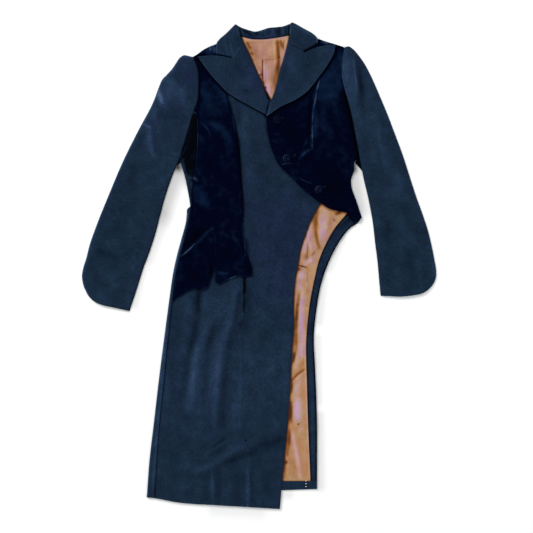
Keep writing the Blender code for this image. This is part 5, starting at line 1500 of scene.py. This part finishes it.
def make_back():
    """Back panel with its tail. Its edges stop short of the fronts' turned edges."""
    armhole = moved(smooth_line(ARMHOLE_LEFT), across=-BACK_UNDER_SLEEVE)
    side = moved(smooth_line(BODY_LEFT), across=BACK_SIDE_INSET)
    left = joined(
        trimmed(armhole, SHOULDER_INSET, ARMPIT_TRIM), trimmed(side, ARMPIT_TRIM, TURN_INSET), BACK_HEM[:1])
    armhole = moved(smooth_line(ARMHOLE_RIGHT), across=BACK_UNDER_SLEEVE)
    side = moved(smooth_line(BODY_RIGHT), across=-BACK_SIDE_INSET)
    right = joined(
        trimmed(armhole, SHOULDER_INSET, BACK_ARMPIT_TRIM), trimmed(side, BACK_ARMPIT_TRIM, SHOULDER_INSET),
        trimmed(smooth_line(TAIL_EDGE), SHOULDER_INSET))
    left_shoulder = moved(trimmed(smooth_line(SHOULDER_LEFT), SHOULDER_INSET), down=SHOULDER_INSET)
    right_shoulder = moved(trimmed(smooth_line(SHOULDER_RIGHT), 0, SHOULDER_INSET), down=SHOULDER_INSET)
    top = joined(left[:1], left_shoulder, BACK_NECK, right_shoulder, right[:1])
    plan = plan_grid(left, right, top, smooth_line(BACK_HEM), fineness="under")
    fabric("back", plan, back_seat, WOOL, "wool", troughs=BACK_TROUGHS, rests_on=("collar_fall_cloth",))


def make_linings():
    """Satin that shows in the neck and inside the tail."""
    left = moved(between(smooth_line(ROLL_LEFT_OPEN), *NECK_LINING_SPAN), across=-LINING_UNDERCUT)
    right = moved(between(smooth_line(ROLL_RIGHT), *NECK_LINING_SPAN), across=LINING_UNDERCUT)
    top = joined(left[:1], BACK_NECK[1:2], right[:1])
    plan = plan_grid(left, right, top)
    fabric(
        "lining_neck", plan, neck_lining_seat, SATIN, "lining", grooves=NECK_GROOVES, tones=NECK_STROKES,
        painted_lines=NECK_PAINTED_LINES, rests_on=("back_cloth",))

    right = moved(smooth_line(FACING_INNER), across=-SEAM_GAP)
    left = smooth_line(TAIL_LINING_HIDDEN)
    plan = plan_grid(left, right)
    fabric(
        "lining_tail", plan, tail_lining_seat, SATIN, "lining", grooves=TAIL_GROOVES, tones=TAIL_STROKES,
        painted_lines=TAIL_PAINTED_LINES, rests_on=("back_cloth",))


def make_tail_facing():
    """Wool facing along the tail's edge, and the hem turned up along its foot."""
    left = smooth_line(FACING_INNER)
    right = joined(FACING_TOP, trimmed(smooth_line(TAIL_EDGE[1:-1]), ARMPIT_TRIM), FACING_FOOT)
    plan = plan_grid(left, right)
    fabric(
        "tail_facing", plan, plain_lining_seat, SATIN, "wool", tones=FACING_STROKES, painted_lines=FACING_PAINTED_LINES,
        curled=("right",), rests_on=("back_cloth",))

    top = moved(straight_line(TAIL_HEM_TOP), down=GAP)
    bottom = straight_line(TAIL_HEM_FOOT)
    plan = plan_grid(ends(top[0], bottom[0]), ends(top[-1], bottom[-1]), top, bottom)
    fabric("tail_hem", plan, plain_lining_seat, SATIN, "wool", rests_on=("back_cloth",))


def hem_stretch(left, right):
    """The stretch of the front hem between two points on it."""
    hem = smooth_line(HEM_FRONT)
    inside = hem[(hem[:, 0] > left[0] + LINE_STEP) & (hem[:, 0] < right[0] - LINE_STEP)]
    return np.vstack([[left], inside, [right]])


def make_front():
    """Centre front with its underlap, the side of the skirt, and the side panel round the left edge."""
    left = between(moved(smooth_line(PRINCESS_LEFT), across=SEAM_GAP / 2), *CENTRE_SPAN)
    right = joined(smooth_line(UNDERLAP_EDGE), smooth_line(SKIRT_EDGE)[1:])
    bottom = hem_stretch(left[-1], right[-1])
    plan = plan_grid(left, right, bottom=bottom, fineness="front")
    fabric(
        "front_centre", plan, front_seat, WOOL, "wool", **FRONT_LOOK,
        rests_on=("back_cloth", "lining_tail_cloth"))

    left = moved(between(smooth_line(SIDE_SEAM_LEFT), WAIST, SIDE_SEAM_FOOT), across=SIDE_SEAM_GAP / 2)
    right = moved(between(smooth_line(PRINCESS_LEFT), WAIST, CENTRE_SPAN[1]), across=-SEAM_GAP / 2)
    bottom = hem_stretch(left[-1], right[-1])
    plan = plan_grid(left, right, bottom=bottom, fineness="front")
    fabric("front_side_skirt", plan, front_seat, WOOL, "wool", **FRONT_LOOK, rests_on=("back_cloth",))

    seam = moved(smooth_line(SIDE_SEAM_LEFT), across=-SIDE_SEAM_GAP / 2)
    seam = between(seam, SIDE_PANEL_TOP, SIDE_SEAM_FOOT)
    armhole = moved(smooth_line(ARMHOLE_LEFT), across=ARMHOLE_GAP)
    armpit = ARMHOLE_LEFT[-1].down
    left = joined(between(armhole, SIDE_PANEL_TOP, armpit - GAP), trimmed(smooth_line(BODY_LEFT), TURN))
    plan = plan_grid(left, seam, turned=("left",))
    fabric(
        "side_panel_left", plan, front_seat, WOOL, "wool", turned={"left": below(armpit + ARMPIT_TRIM)},
        tones=SIDE_PANEL_STROKES, painted_lines=SIDE_PANEL_PAINTED_LINES, rests_on=("back_cloth",))


def make_velvets():
    """The left side front with its pointed peplum, and the right front, cut away from the closure."""
    armhole = moved(smooth_line(ARMHOLE_LEFT), across=ARMHOLE_GAP)
    seam = moved(smooth_line(SIDE_SEAM_LEFT), across=SIDE_SEAM_GAP / 2)
    left = joined(
        between(armhole, ARMHOLE_LEFT[0].down, VELVET_LEAVES_ARMHOLE),
        between(seam, SIDE_PANEL_TOP, PEPLUM_HEM[0].down))
    princess = moved(smooth_line(PRINCESS_LEFT), across=-SEAM_GAP / 2)
    right = joined(
        between(princess, PRINCESS_TOP, PEPLUM_RIGHT[0].down - TURN),
        moved(smooth_line(PEPLUM_RIGHT), across=-SEAM_GAP / 2))
    shoulder = trimmed(smooth_line(SHOULDER_LEFT), TURN)
    top = joined(left[:1], shoulder[shoulder[:, 0] < right[0, 0] - TURN], right[:1])
    bottom = joined(left[-1:], straight_line(PEPLUM_HEM)[1:-1], right[-1:])
    plan = plan_grid(left, right, top, bottom, turned=("top",))
    fabric(
        "velvet_left", plan, velvet_left_seat, VELVET, "velvet", turned={"top": everywhere}, curled=("bottom",),
        grooves=VELVET_LEFT_GROOVES, tones=VELVET_LEFT_STROKES, painted_lines=VELVET_LEFT_PAINTED_LINES,
        rests_on=("back_cloth", "front_side_skirt_cloth"))

    left = smooth_line(CLOSURE_EDGE)
    armhole = moved(smooth_line(ARMHOLE_RIGHT), across=-ARMHOLE_GAP)
    side = smooth_line(BODY_RIGHT)
    side = side[side[:, 1] > ARMPIT_RIGHT[-1].down + LINE_STEP]
    right = joined(trimmed(armhole, 0, ARMPIT_RISE), straight_line(ARMPIT_RIGHT), side)
    shoulder = smooth_line(SHOULDER_RIGHT)
    inside = (shoulder[:, 0] > left[0, 0] + TURN) & (shoulder[:, 0] < right[0, 0] - TURN)
    top = joined(left[:1], shoulder[inside], right[:1])
    plan = plan_grid(left, right, top, smooth_line(BOLERO_HEM), turned=("top", "right"))
    turned = {"top": right_of(SHOULDER_RIGHT[1].x - 2 * ARMPIT_TRIM), "right": below(ARMHOLE_RIGHT[-1].down)}
    fabric(
        "velvet_right", plan, velvet_right_seat, VELVET, "velvet", turned=turned, curled=("left", "bottom"),
        grooves=VELVET_RIGHT_GROOVES, tones=VELVET_RIGHT_STROKES, painted_lines=VELVET_RIGHT_PAINTED_LINES,
        rests_on=("back_cloth", "front_centre_cloth", "tail_facing_cloth"))


def make_lapels():
    """Two wide peaked lapels. The right one crosses over the left one where the neck closes."""
    roll = smooth_line(ROLL_LEFT)
    gorge = moved(smooth_line(GORGE_LEFT)[::-1], down=GORGE_GAP)
    right = roll[roll[:, 1] > GORGE_LEFT[0].down]
    left = trimmed(smooth_line(LAPEL_LEFT_OUTER), 0, TURN)
    top = joined(smooth_line(LAPEL_LEFT_TOP)[::-1], gorge[:-1], right[:1])
    plan = plan_grid(left, right, top, turned=("right",))
    fabric(
        "lapel_left", plan, lapel_left_seat, WOOL, "wool", curled=("left", "top"), **COLLAR_LOOK,
        grain=LAPEL_LEFT_LEAN, rests_on=("velvet_left_cloth", "front_centre_cloth"))

    roll = smooth_line(ROLL_RIGHT)
    gorge = moved(smooth_line(GORGE_RIGHT), down=GORGE_GAP)
    left = between(roll, GORGE_RIGHT[0].down + GORGE_GAP, ROLL_RIGHT[-1].down - GAP)
    right = trimmed(smooth_line(LAPEL_RIGHT_OUTER), 0, TURN)
    top = joined(left[:1], gorge[1:], smooth_line(LAPEL_RIGHT_TOP))
    plan = plan_grid(left, right, top, turned=("left",))
    fabric(
        "lapel_right", plan, lapel_right_seat, WOOL, "wool", curled=("right", "top"), **COLLAR_LOOK,
        grain=LAPEL_RIGHT_LEAN, rests_on=("velvet_right_cloth", "lapel_left_cloth"))


def make_collar():
    """Two leaves on the front, the stand that shows inside the neck, and the fall under the back."""
    outer = smooth_line(LEAF_LEFT_OUTER[1:])
    inner = moved(joined(smooth_line(ROLL_LEFT[:3]), smooth_line(GORGE_LEFT)[1:]), down=-GORGE_GAP)
    front = smooth_line(LEAF_LEFT_FRONT)[::-1]
    plan = plan_grid(outer, inner, bottom=front, turned=("left", "right"))
    fabric(
        "collar_leaf_left", plan, leaf_left_seat, WOOL, "wool", curled=("bottom",), **COLLAR_LOOK,
        turned={"left": above(SHOULDER_LEFT[4].down - ARMPIT_TRIM)}, grain=LEAF_LEFT_LEAN,
        rests_on=("velvet_left_cloth", "collar_stand_cloth"))

    outer = smooth_line(LEAF_RIGHT_OUTER[1:])
    inner = moved(joined(smooth_line(ROLL_RIGHT[:3]), smooth_line(GORGE_RIGHT)[1:]), down=-GORGE_GAP)
    front = smooth_line(LEAF_RIGHT_FRONT)
    plan = plan_grid(inner, outer, bottom=front, turned=("left", "right"))
    fabric(
        "collar_leaf_right", plan, leaf_right_seat, WOOL, "wool", curled=("bottom",), **COLLAR_LOOK,
        turned={"right": above(SHOULDER_RIGHT[2].down - ARMPIT_TRIM)}, grain=LEAF_RIGHT_LEAN,
        rests_on=("velvet_right_cloth", "collar_stand_cloth"))

    left = trimmed(moved(smooth_line(ROLL_LEFT[:2]), across=SEAM_GAP), GAP)
    right = trimmed(moved(smooth_line(ROLL_RIGHT[:2]), across=-SEAM_GAP), GAP)
    top = joined(left[:1], trimmed(smooth_line(COLLAR_TOP), 2 * TURN, 2 * TURN), right[:1])
    bottom = joined(left[-1:], trimmed(smooth_line(STAND_SEAM), TURN, TURN), right[-1:])
    plan = plan_grid(left, right, top, bottom, turned=("top",))
    fabric(
        "collar_stand", plan, front_seat, WOOL, "wool", turned={"top": everywhere}, **COLLAR_LOOK,
        rests_on=("collar_fall_cloth", "lining_neck_cloth"))

    top = moved(trimmed(smooth_line(COLLAR_TOP), FALL_TRIM, FALL_TRIM), down=SHOULDER_INSET)
    bottom = moved(top, down=FALL_DEPTH)
    plan = plan_grid(ends(top[0], bottom[0]), ends(top[-1], bottom[-1]), top, bottom, fineness="front")
    fabric("collar_fall", plan, surface_seat, WOOL, "wool", grain=FALL_LEAN)


def make_sleeve(side, outer, armhole, inner, hem, lean):
    """One sleeve: its upper side, turned down round both edges, and the under side inside it."""
    outer_line = smooth_line(outer)
    inner_line = joined(smooth_line(armhole), smooth_line(inner)[1:])
    hem_line = smooth_line(hem)
    armpit = armhole[-1].down + ARMPIT_TRIM
    on_left = side == "left"
    edges = (outer_line, inner_line) if on_left else (inner_line, outer_line)
    bottom = hem_line if on_left else hem_line[::-1]
    plan = plan_grid(*edges, bottom=bottom, fineness="front", turned=("left", "right"))
    turned = {"left" if on_left else "right": everywhere, "right" if on_left else "left": below(armpit)}
    fabric(
        "sleeve_upper_" + side, plan, sleeve_seat, WOOL, "wool", turned=turned, grooves=SLEEVE_GROOVES,
        tones=SLEEVE_STROKES, painted_lines=SLEEVE_PAINTED_LINES, hem_line=CUFF_DEPTH, grain=lean,
        rests_on=("sleeve_under_" + side + "_cloth",))

    inward = TURN_INSET if on_left else -TURN_INSET
    outer_line = trimmed(inset(outer_line, inward), UNDER_SLEEVE_TRIM)
    inner_line = trimmed(inset(inner_line, -inward), UNDER_SLEEVE_TRIM)
    reach = straight_line(ARMPIT_LEFT_REACH if on_left else ARMPIT_RIGHT_REACH)
    head = inner_line[inner_line[:, 1] < reach[0, 1]]
    rest = inner_line[inner_line[:, 1] > reach[-1, 1] + LINE_STEP]
    inner_line = joined(head, reach, rest)
    edges = (outer_line, inner_line) if on_left else (inner_line, outer_line)
    cuff = moved(trimmed(bottom, TURN_INSET, TURN_INSET), down=-UNDER_CUFF_TRIM)
    bottom = joined(edges[0][-1:], cuff, edges[1][-1:])
    plan = plan_grid(*edges, bottom=bottom, fineness="under")
    # The under side carries the painted shade that shows in the armpit
    fabric(
        "sleeve_under_" + side, plan, surface_seat, WOOL, "wool", troughs=UNDER_SLEEVE_TROUGHS,
        tones=ARMPIT_PAINTED_SHADE, grain=lean)


def select_only(piece=None):
    """Only this piece is selected and active, or none is selected."""
    for other in bpy.context.view_layer.objects:
        other.select_set(False)
    if piece:
        piece.select_set(True)
        bpy.context.view_layer.objects.active = piece


def top_face(mesh_in_edit):
    """Selects the highest flat face of the mesh in edit mode."""
    form = bmesh.from_edit_mesh(mesh_in_edit)
    for face in form.faces:
        face.select_set(False)
    highest = max(form.faces, key=lambda face: (face.normal.z, face.calc_center_median().z))
    highest.select_set(True)
    bmesh.update_edit_mesh(mesh_in_edit)


def shaped_disc(radius, height, sides, steps):
    """A disc raised by insets: each step is a width in from the last ring and a rise, in metres."""
    select_only()
    bpy.ops.mesh.primitive_cylinder_add(
        vertices=sides, radius=radius, depth=height, end_fill_type="NGON", location=(0, 0, height / 2))
    disc = bpy.context.active_object
    bpy.ops.object.transform_apply(location=True, rotation=True, scale=True)
    bpy.ops.object.mode_set(mode="EDIT")
    bpy.ops.mesh.select_mode(type="FACE")
    top_face(disc.data)
    for width, rise in steps:
        bpy.ops.mesh.inset(thickness=width, depth=0)
        bpy.ops.transform.translate(value=(0, 0, rise))
    bpy.ops.mesh.poke(offset=0)
    bpy.ops.object.mode_set(mode="OBJECT")
    return disc


def make_buttons():
    """Covered buttons: a ringed dome modelled once, then one for each place, sewn down by its shank."""
    sizes = bpy.context.scene.coat_buttons
    steps = [(sizes.rim * width, sizes.height * rise) for width, rise in BUTTON_PROFILE]
    pattern = shaped_disc(sizes.radius * BUTTON_DISC, sizes.height * BUTTON_WALL, sizes.sides, steps)
    bevel = pattern.modifiers.new("soft_edge", "BEVEL")
    bevel.width = sizes.height * BUTTON_BEVEL
    bevel.segments = 3
    smooth = pattern.modifiers.new("round", "SUBSURF")
    smooth.levels = 1
    smooth.render_levels = 1
    select_only(pattern)
    bpy.ops.object.modifier_apply(modifier=bevel.name)
    bpy.ops.object.modifier_apply(modifier=smooth.name)
    bpy.ops.object.shade_smooth()
    for button in BUTTONS:
        low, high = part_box(button.name)
        copy = pattern.copy()
        copy.data = pattern.data.copy()
        bpy.context.scene.collection.objects.link(copy)
        copy.name = button.name + "_covered"
        copy.location = ((low.x + high.x) / 2, (low.y + high.y) / 2, low.z)
        copy.rotation_euler = (0, 0, math.radians(button.turn))
        select_only(copy)
        bpy.ops.object.transform_apply(location=True, rotation=True, scale=True)
        paint_button_light(copy.data, button)
        copy.data.materials.clear()
        copy.data.materials.append(made_once("velvet_button", button_material))
        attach(copy, BODY)
        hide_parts(button.name)
        add_shank(button, low.z)
    bpy.data.objects.remove(pattern, do_unlink=True)


def paint_button_light(mesh, button):
    """Tone of a button's velvet: painted highlight on its ring, strongest towards one side, and on its dome
    towards the other, and painted shade in its groove.
    """
    points = np.array([v.co for v in mesh.vertices])
    middle = (points.min(0) + points.max(0)) / 2
    out = points - middle
    reach = np.hypot(out[:, 0], out[:, 1]) / np.ptp(points[:, 0]) * 2
    strength, side = BUTTON_LIGHT_SIDE[button.name]
    facing = np.cos(np.arctan2(out[:, 1], out[:, 0]) - math.radians(side))

    def band(place, width):
        """A soft band round the button."""
        return np.exp(-(((reach - place) / width) ** 2))

    ring = band(*BUTTON_RING) * (RING_LIGHT[0] + RING_LIGHT[1] * facing)
    dome = band(*BUTTON_DOME) * (DOME_LIGHT[0] + DOME_LIGHT[1] * np.clip(-facing, 0, 1))
    tone = 0.5 + strength * (ring + dome) - GROOVE_SHADE * band(*BUTTON_GROOVE)
    shade = mesh.attributes.new(TONE, "FLOAT", "POINT")
    shade.data.foreach_set("value", np.clip(tone, 0, 1).astype(np.float32))


def add_shank(button, foot):
    """Wound thread between a button and the cloth that it is sewn to."""
    select_only()
    place = (button.x / 1000, y_of(button.down), foot)
    bpy.ops.mesh.primitive_cylinder_add(vertices=20, radius=SHANK_RADIUS, depth=SHANK_HEIGHT, location=place)
    shank = bpy.context.active_object
    bpy.ops.object.transform_apply(location=True, rotation=True, scale=True)
    bpy.ops.object.shade_smooth()
    shank.name = button.name + "_shank"
    shank.data.materials.append(sewing_thread())
    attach(shank, BODY)


def stitch_form(length, thick):
    """One short stitch: a long bead that dips at its ends, modelled at the origin along x."""
    select_only()
    bpy.ops.mesh.primitive_uv_sphere_add(segments=8, ring_count=6, radius=0.5)
    bead = bpy.context.active_object
    bpy.ops.object.mode_set(mode="EDIT")
    bpy.ops.mesh.select_all(action="SELECT")
    bpy.ops.transform.rotate(value=math.radians(90), orient_axis="Y", center_override=(0, 0, 0))
    bpy.ops.transform.resize(value=(length, thick, thick), center_override=(0, 0, 0))
    bpy.ops.object.mode_set(mode="OBJECT")
    return bead


def ordered(mesh):
    """Vertices and faces of a mesh, in an order that is the same each run."""
    places = [tuple(v.co) for v in mesh.vertices]
    order = sorted(range(len(places)), key=lambda i: places[i])
    rank = {old: new for new, old in enumerate(order)}
    faces = []
    for face in mesh.polygons:
        ring = [rank[i] for i in face.vertices]
        start = ring.index(min(ring))
        faces.append(tuple(ring[start:] + ring[:start]))
    return [places[i] for i in order], sorted(faces)


def lay_stitches(name, length, thick, places, material):
    """Copies of one stitch as one piece. Each place is x, down, height and turn in degrees."""
    bead = stitch_form(length, thick)
    shape, form = ordered(bead.data)
    bpy.data.objects.remove(bead, do_unlink=True)
    points = []
    faces = []
    for x, down, height, degrees in places:
        cos = math.cos(math.radians(degrees))
        sin = math.sin(math.radians(degrees))
        faces += [tuple(len(points) + i for i in face) for face in form]
        points += [
            (x / 1000 + a * cos - b * sin, y_of(down) + a * sin + b * cos, height / 1000 + c)
            for a, b, c in shape]
    mesh = bpy.data.meshes.new(name)
    mesh.from_pydata(points, [], faces)
    mesh.shade_smooth()
    mesh.materials.append(material)
    piece = bpy.data.objects.new(name, mesh)
    bpy.context.scene.collection.objects.link(piece)
    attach(piece, BODY)


def height_at(seat, x, down):
    """Height of a seat at one place."""
    return float(seat(np.array([x]), np.array([down]))[0])


def felling_places(thick):
    """Stitches along the satin's edge at the tail's facing, and along the seam of the collar's stand."""
    rise = SATIN - FELL_SINK * thick * 1000
    line = between(moved(smooth_line(FACING_INNER), across=-SEAM_GAP), FELL_START, FELL_END)
    count = int(line_length(line) / FELL_PITCH)
    shares = (np.arange(count) + 0.5) / count
    before, after = np.clip(shares - FELL_REACH, 0, 1), np.clip(shares + FELL_REACH, 0, 1)
    ahead = along(line, after) - along(line, before)
    places = []
    for (x, down), (run_x, run_down) in zip(along(line, shares), ahead):
        turn = math.degrees(math.atan2(-run_down, run_x)) + FELL_LEAN
        places.append((x, down, height_at(plain_lining_seat, x, down) + rise, turn))
    shares = (np.arange(NECK_FELL_STITCHES) + 0.5) / NECK_FELL_STITCHES
    for x, down in along(smooth_line(STAND_SEAM), shares):
        height = height_at(plain_lining_seat, x, down + 1.5 * NECK_FELL_DOWN) + rise
        places.append((x, down + NECK_FELL_DOWN, height, NECK_FELL_TURN))
    return places


def buttonhole_places(hole):
    """Stitches round the end of a worked buttonhole that shows past its button, then along its sides."""
    run = math.radians(hole.turn)
    plan = []
    for k in range(HOLE_END_STITCHES):
        turn = run + math.pi * (k / (HOLE_END_STITCHES - 1) - 0.5)
        plan.append((HOLE_RADIUS * math.cos(turn), HOLE_RADIUS * math.sin(turn), math.degrees(turn)))
    for k in range(HOLE_SIDE_STITCHES):
        back = (k + 1) * HOLE_PITCH
        for side in (-HOLE_RADIUS, HOLE_RADIUS):
            across = side * math.sin(run) - back * math.cos(run)
            up = -back * math.sin(run) - side * math.cos(run)
            plan.append((across, up, hole.turn + 90))
    places = []
    for across, up, turn in plan:
        x = hole.x + across
        down = hole.down - up
        places.append((x, down, height_at(velvet_right_seat, x, down) + VELVET, turn))
    return places


def make_sewing():
    """Felling along the linings, the three hem stitches of the tail, and the buttonholes' worked ends."""
    thick = bpy.context.scene.coat_cloth.thread
    colours = bpy.context.scene.coat_colours
    satin_thread = thread_material("thread_copper", tuple(c * FELL_SHADE for c in colours.satin))
    lay_stitches("felling_stitches", FELL_LENGTH, thick, felling_places(thick), satin_thread)

    rise = LINING_LAYER + SATIN + HEM_STITCH_RISE * thick * 1000
    places = [(x, down, rise, HEM_STITCH_TURN) for x, down in HEM_STITCHES]
    hem_thread = thread_material("thread_pale", tuple(colours.hem_thread))
    lay_stitches(
        "hem_stitches", HEM_STITCH_LENGTH, thick * HEM_STITCH_THICKNESS, places, hem_thread)

    places = [place for hole in BUTTONHOLES for place in buttonhole_places(hole)]
    lay_stitches(
        "buttonhole_stitches", HOLE_STITCH_LENGTH, thick * HOLE_STITCH_THICKNESS, places, sewing_thread())


def make_floor():
    """Pale board just under the coat."""
    stage = bpy.context.scene.coat_stage
    select_only()
    bpy.ops.mesh.primitive_plane_add(size=stage.floor_size, location=(0, 0, -FLOOR_DROP))
    floor = bpy.context.active_object
    floor.name = "pale_floor"
    bpy.ops.object.transform_apply(location=True, rotation=True, scale=True)
    floor.data.materials.append(floor_material(tuple(bpy.context.scene.coat_colours.floor)))


def add_soft_light(lamp, power):
    """Square soft light, turned towards the middle of the coat."""
    light = bpy.data.lights.new(lamp.name, "AREA")
    light.shape = "SQUARE"
    light.size = lamp.side
    light.energy = power
    light.color = lamp.colour
    holder = bpy.data.objects.new(lamp.name, light)
    bpy.context.scene.collection.objects.link(holder)
    holder.location = lamp.place
    holder.rotation_euler = (-Vector(lamp.place)).to_track_quat("-Z", "Y").to_euler()


def make_light():
    """Soft light from the upper left, a weaker one from the right, and a white surround."""
    stage = bpy.context.scene.coat_stage
    add_soft_light(KEY_LIGHT, stage.key_power)
    add_soft_light(FILL_LIGHT, stage.fill_power)
    world = bpy.data.worlds.new("white_surround")
    bpy.context.scene.world = world
    world.use_nodes = True
    background = world.node_tree.nodes["Background"]
    background.inputs["Color"].default_value = SURROUND_COLOUR
    background.inputs["Strength"].default_value = stage.sky
    bpy.context.scene.view_settings.view_transform = "Standard"


def make_camera():
    """Straight above the coat, with a long lens, as in the photograph."""
    stage = bpy.context.scene.coat_stage
    camera = bpy.data.cameras.new("overhead")
    holder = bpy.data.objects.new("overhead", camera)
    bpy.context.scene.collection.objects.link(holder)
    holder.location = (stage.camera_x, stage.camera_y, stage.camera_height)
    camera.lens = camera.sensor_width * (stage.camera_height - FRONT_LAYER / 1000) / stage.frame_width
    camera.clip_end = 3 * stage.camera_height
    bpy.context.scene.camera = holder


class COAT_OT_back(Operator):
    """Back panel with its long tail"""

    bl_idname = "coat.back"
    bl_label = "Back"

    def execute(self, context):
        make_back()
        return {"FINISHED"}


class COAT_OT_linings(Operator):
    """Satin of the neck and of the tail"""

    bl_idname = "coat.linings"
    bl_label = "Linings"

    def execute(self, context):
        make_linings()
        return {"FINISHED"}


class COAT_OT_tail_facing(Operator):
    """Facing along the tail, and the hem along its foot"""

    bl_idname = "coat.tail_facing"
    bl_label = "Tail facing"

    def execute(self, context):
        make_tail_facing()
        return {"FINISHED"}


class COAT_OT_front(Operator):
    """Wool fronts: centre, side of the skirt and side panel"""

    bl_idname = "coat.front"
    bl_label = "Wool fronts"

    def execute(self, context):
        make_front()
        return {"FINISHED"}


class COAT_OT_velvets(Operator):
    """Velvet fronts: the left one with its peplum and the right one"""

    bl_idname = "coat.velvets"
    bl_label = "Velvet fronts"

    def execute(self, context):
        make_velvets()
        return {"FINISHED"}


class COAT_OT_lapels(Operator):
    """Two wide peaked lapels"""

    bl_idname = "coat.lapels"
    bl_label = "Lapels"

    def execute(self, context):
        make_lapels()
        return {"FINISHED"}


class COAT_OT_collar(Operator):
    """Collar leaves, stand and fall"""

    bl_idname = "coat.collar"
    bl_label = "Collar"

    def execute(self, context):
        make_collar()
        return {"FINISHED"}


class COAT_OT_sleeves(Operator):
    """Both sleeves, upper and under sides"""

    bl_idname = "coat.sleeves"
    bl_label = "Sleeves"

    def execute(self, context):
        make_sleeve("left", SLEEVE_LEFT_OUTER, ARMHOLE_LEFT, SLEEVE_LEFT_INNER, SLEEVE_LEFT_HEM, -SLEEVE_LEAN)
        make_sleeve(
            "right", SLEEVE_RIGHT_OUTER, ARMHOLE_RIGHT, SLEEVE_RIGHT_INNER, SLEEVE_RIGHT_HEM, SLEEVE_LEAN)
        return {"FINISHED"}


class COAT_OT_buttons(Operator):
    """Three covered buttons with their shanks"""

    bl_idname = "coat.buttons"
    bl_label = "Buttons"

    def execute(self, context):
        make_buttons()
        return {"FINISHED"}


class COAT_OT_sewing(Operator):
    """Felling, buttonhole ends and hem stitches"""

    bl_idname = "coat.sewing"
    bl_label = "Sewing"

    def execute(self, context):
        make_sewing()
        return {"FINISHED"}


class COAT_OT_stage(Operator):
    """Pale floor, soft light and the overhead camera"""

    bl_idname = "coat.stage"
    bl_label = "Stage"

    def execute(self, context):
        make_floor()
        make_light()
        make_camera()
        return {"FINISHED"}


class COAT_PT_sidebar(Panel):
    """Lists the pieces of the coat and the sizes behind them"""

    bl_idname = "COAT_PT_sidebar"
    bl_label = "Coat"
    bl_space_type = "VIEW_3D"
    bl_region_type = "UI"
    bl_category = "Coat"

    def draw(self, context):
        layout = self.layout
        for operator in OPERATORS:
            layout.operator(operator.bl_idname)
        for group_name, kind in GROUPS:
            box = layout.box()
            for name in kind.__annotations__:
                box.prop(getattr(context.scene, group_name), name)


OPERATORS = (
    COAT_OT_back, COAT_OT_linings, COAT_OT_tail_facing, COAT_OT_front, COAT_OT_velvets, COAT_OT_lapels,
    COAT_OT_collar, COAT_OT_sleeves, COAT_OT_buttons, COAT_OT_sewing, COAT_OT_stage)
GROUPS = (
    ("coat_cloth", COAT_PG_cloth), ("coat_colours", COAT_PG_colours), ("coat_buttons", COAT_PG_buttons),
    ("coat_stage", COAT_PG_stage))


def register():
    """Registers the property groups, the operators and the panel."""
    for name, group in GROUPS:
        bpy.utils.register_class(group)
        setattr(bpy.types.Scene, name, PointerProperty(type=group))
    for operator in OPERATORS:
        bpy.utils.register_class(operator)
    bpy.utils.register_class(COAT_PT_sidebar)


def unregister():
    """Takes away what register added."""
    bpy.utils.unregister_class(COAT_PT_sidebar)
    for operator in reversed(OPERATORS):
        bpy.utils.unregister_class(operator)
    for name, group in reversed(GROUPS):
        delattr(bpy.types.Scene, name)
        bpy.utils.unregister_class(group)


def main():
    """Registers the add-on, then makes the stage and the coat piece by piece."""
    register()
    bpy.ops.coat.stage()
    bpy.ops.coat.back()
    bpy.ops.coat.linings()
    bpy.ops.coat.tail_facing()
    bpy.ops.coat.front()
    bpy.ops.coat.velvets()
    bpy.ops.coat.lapels()
    bpy.ops.coat.collar()
    bpy.ops.coat.sleeves()
    bpy.ops.coat.buttons()
    bpy.ops.coat.sewing()


if __name__ == "__main__":
    main()
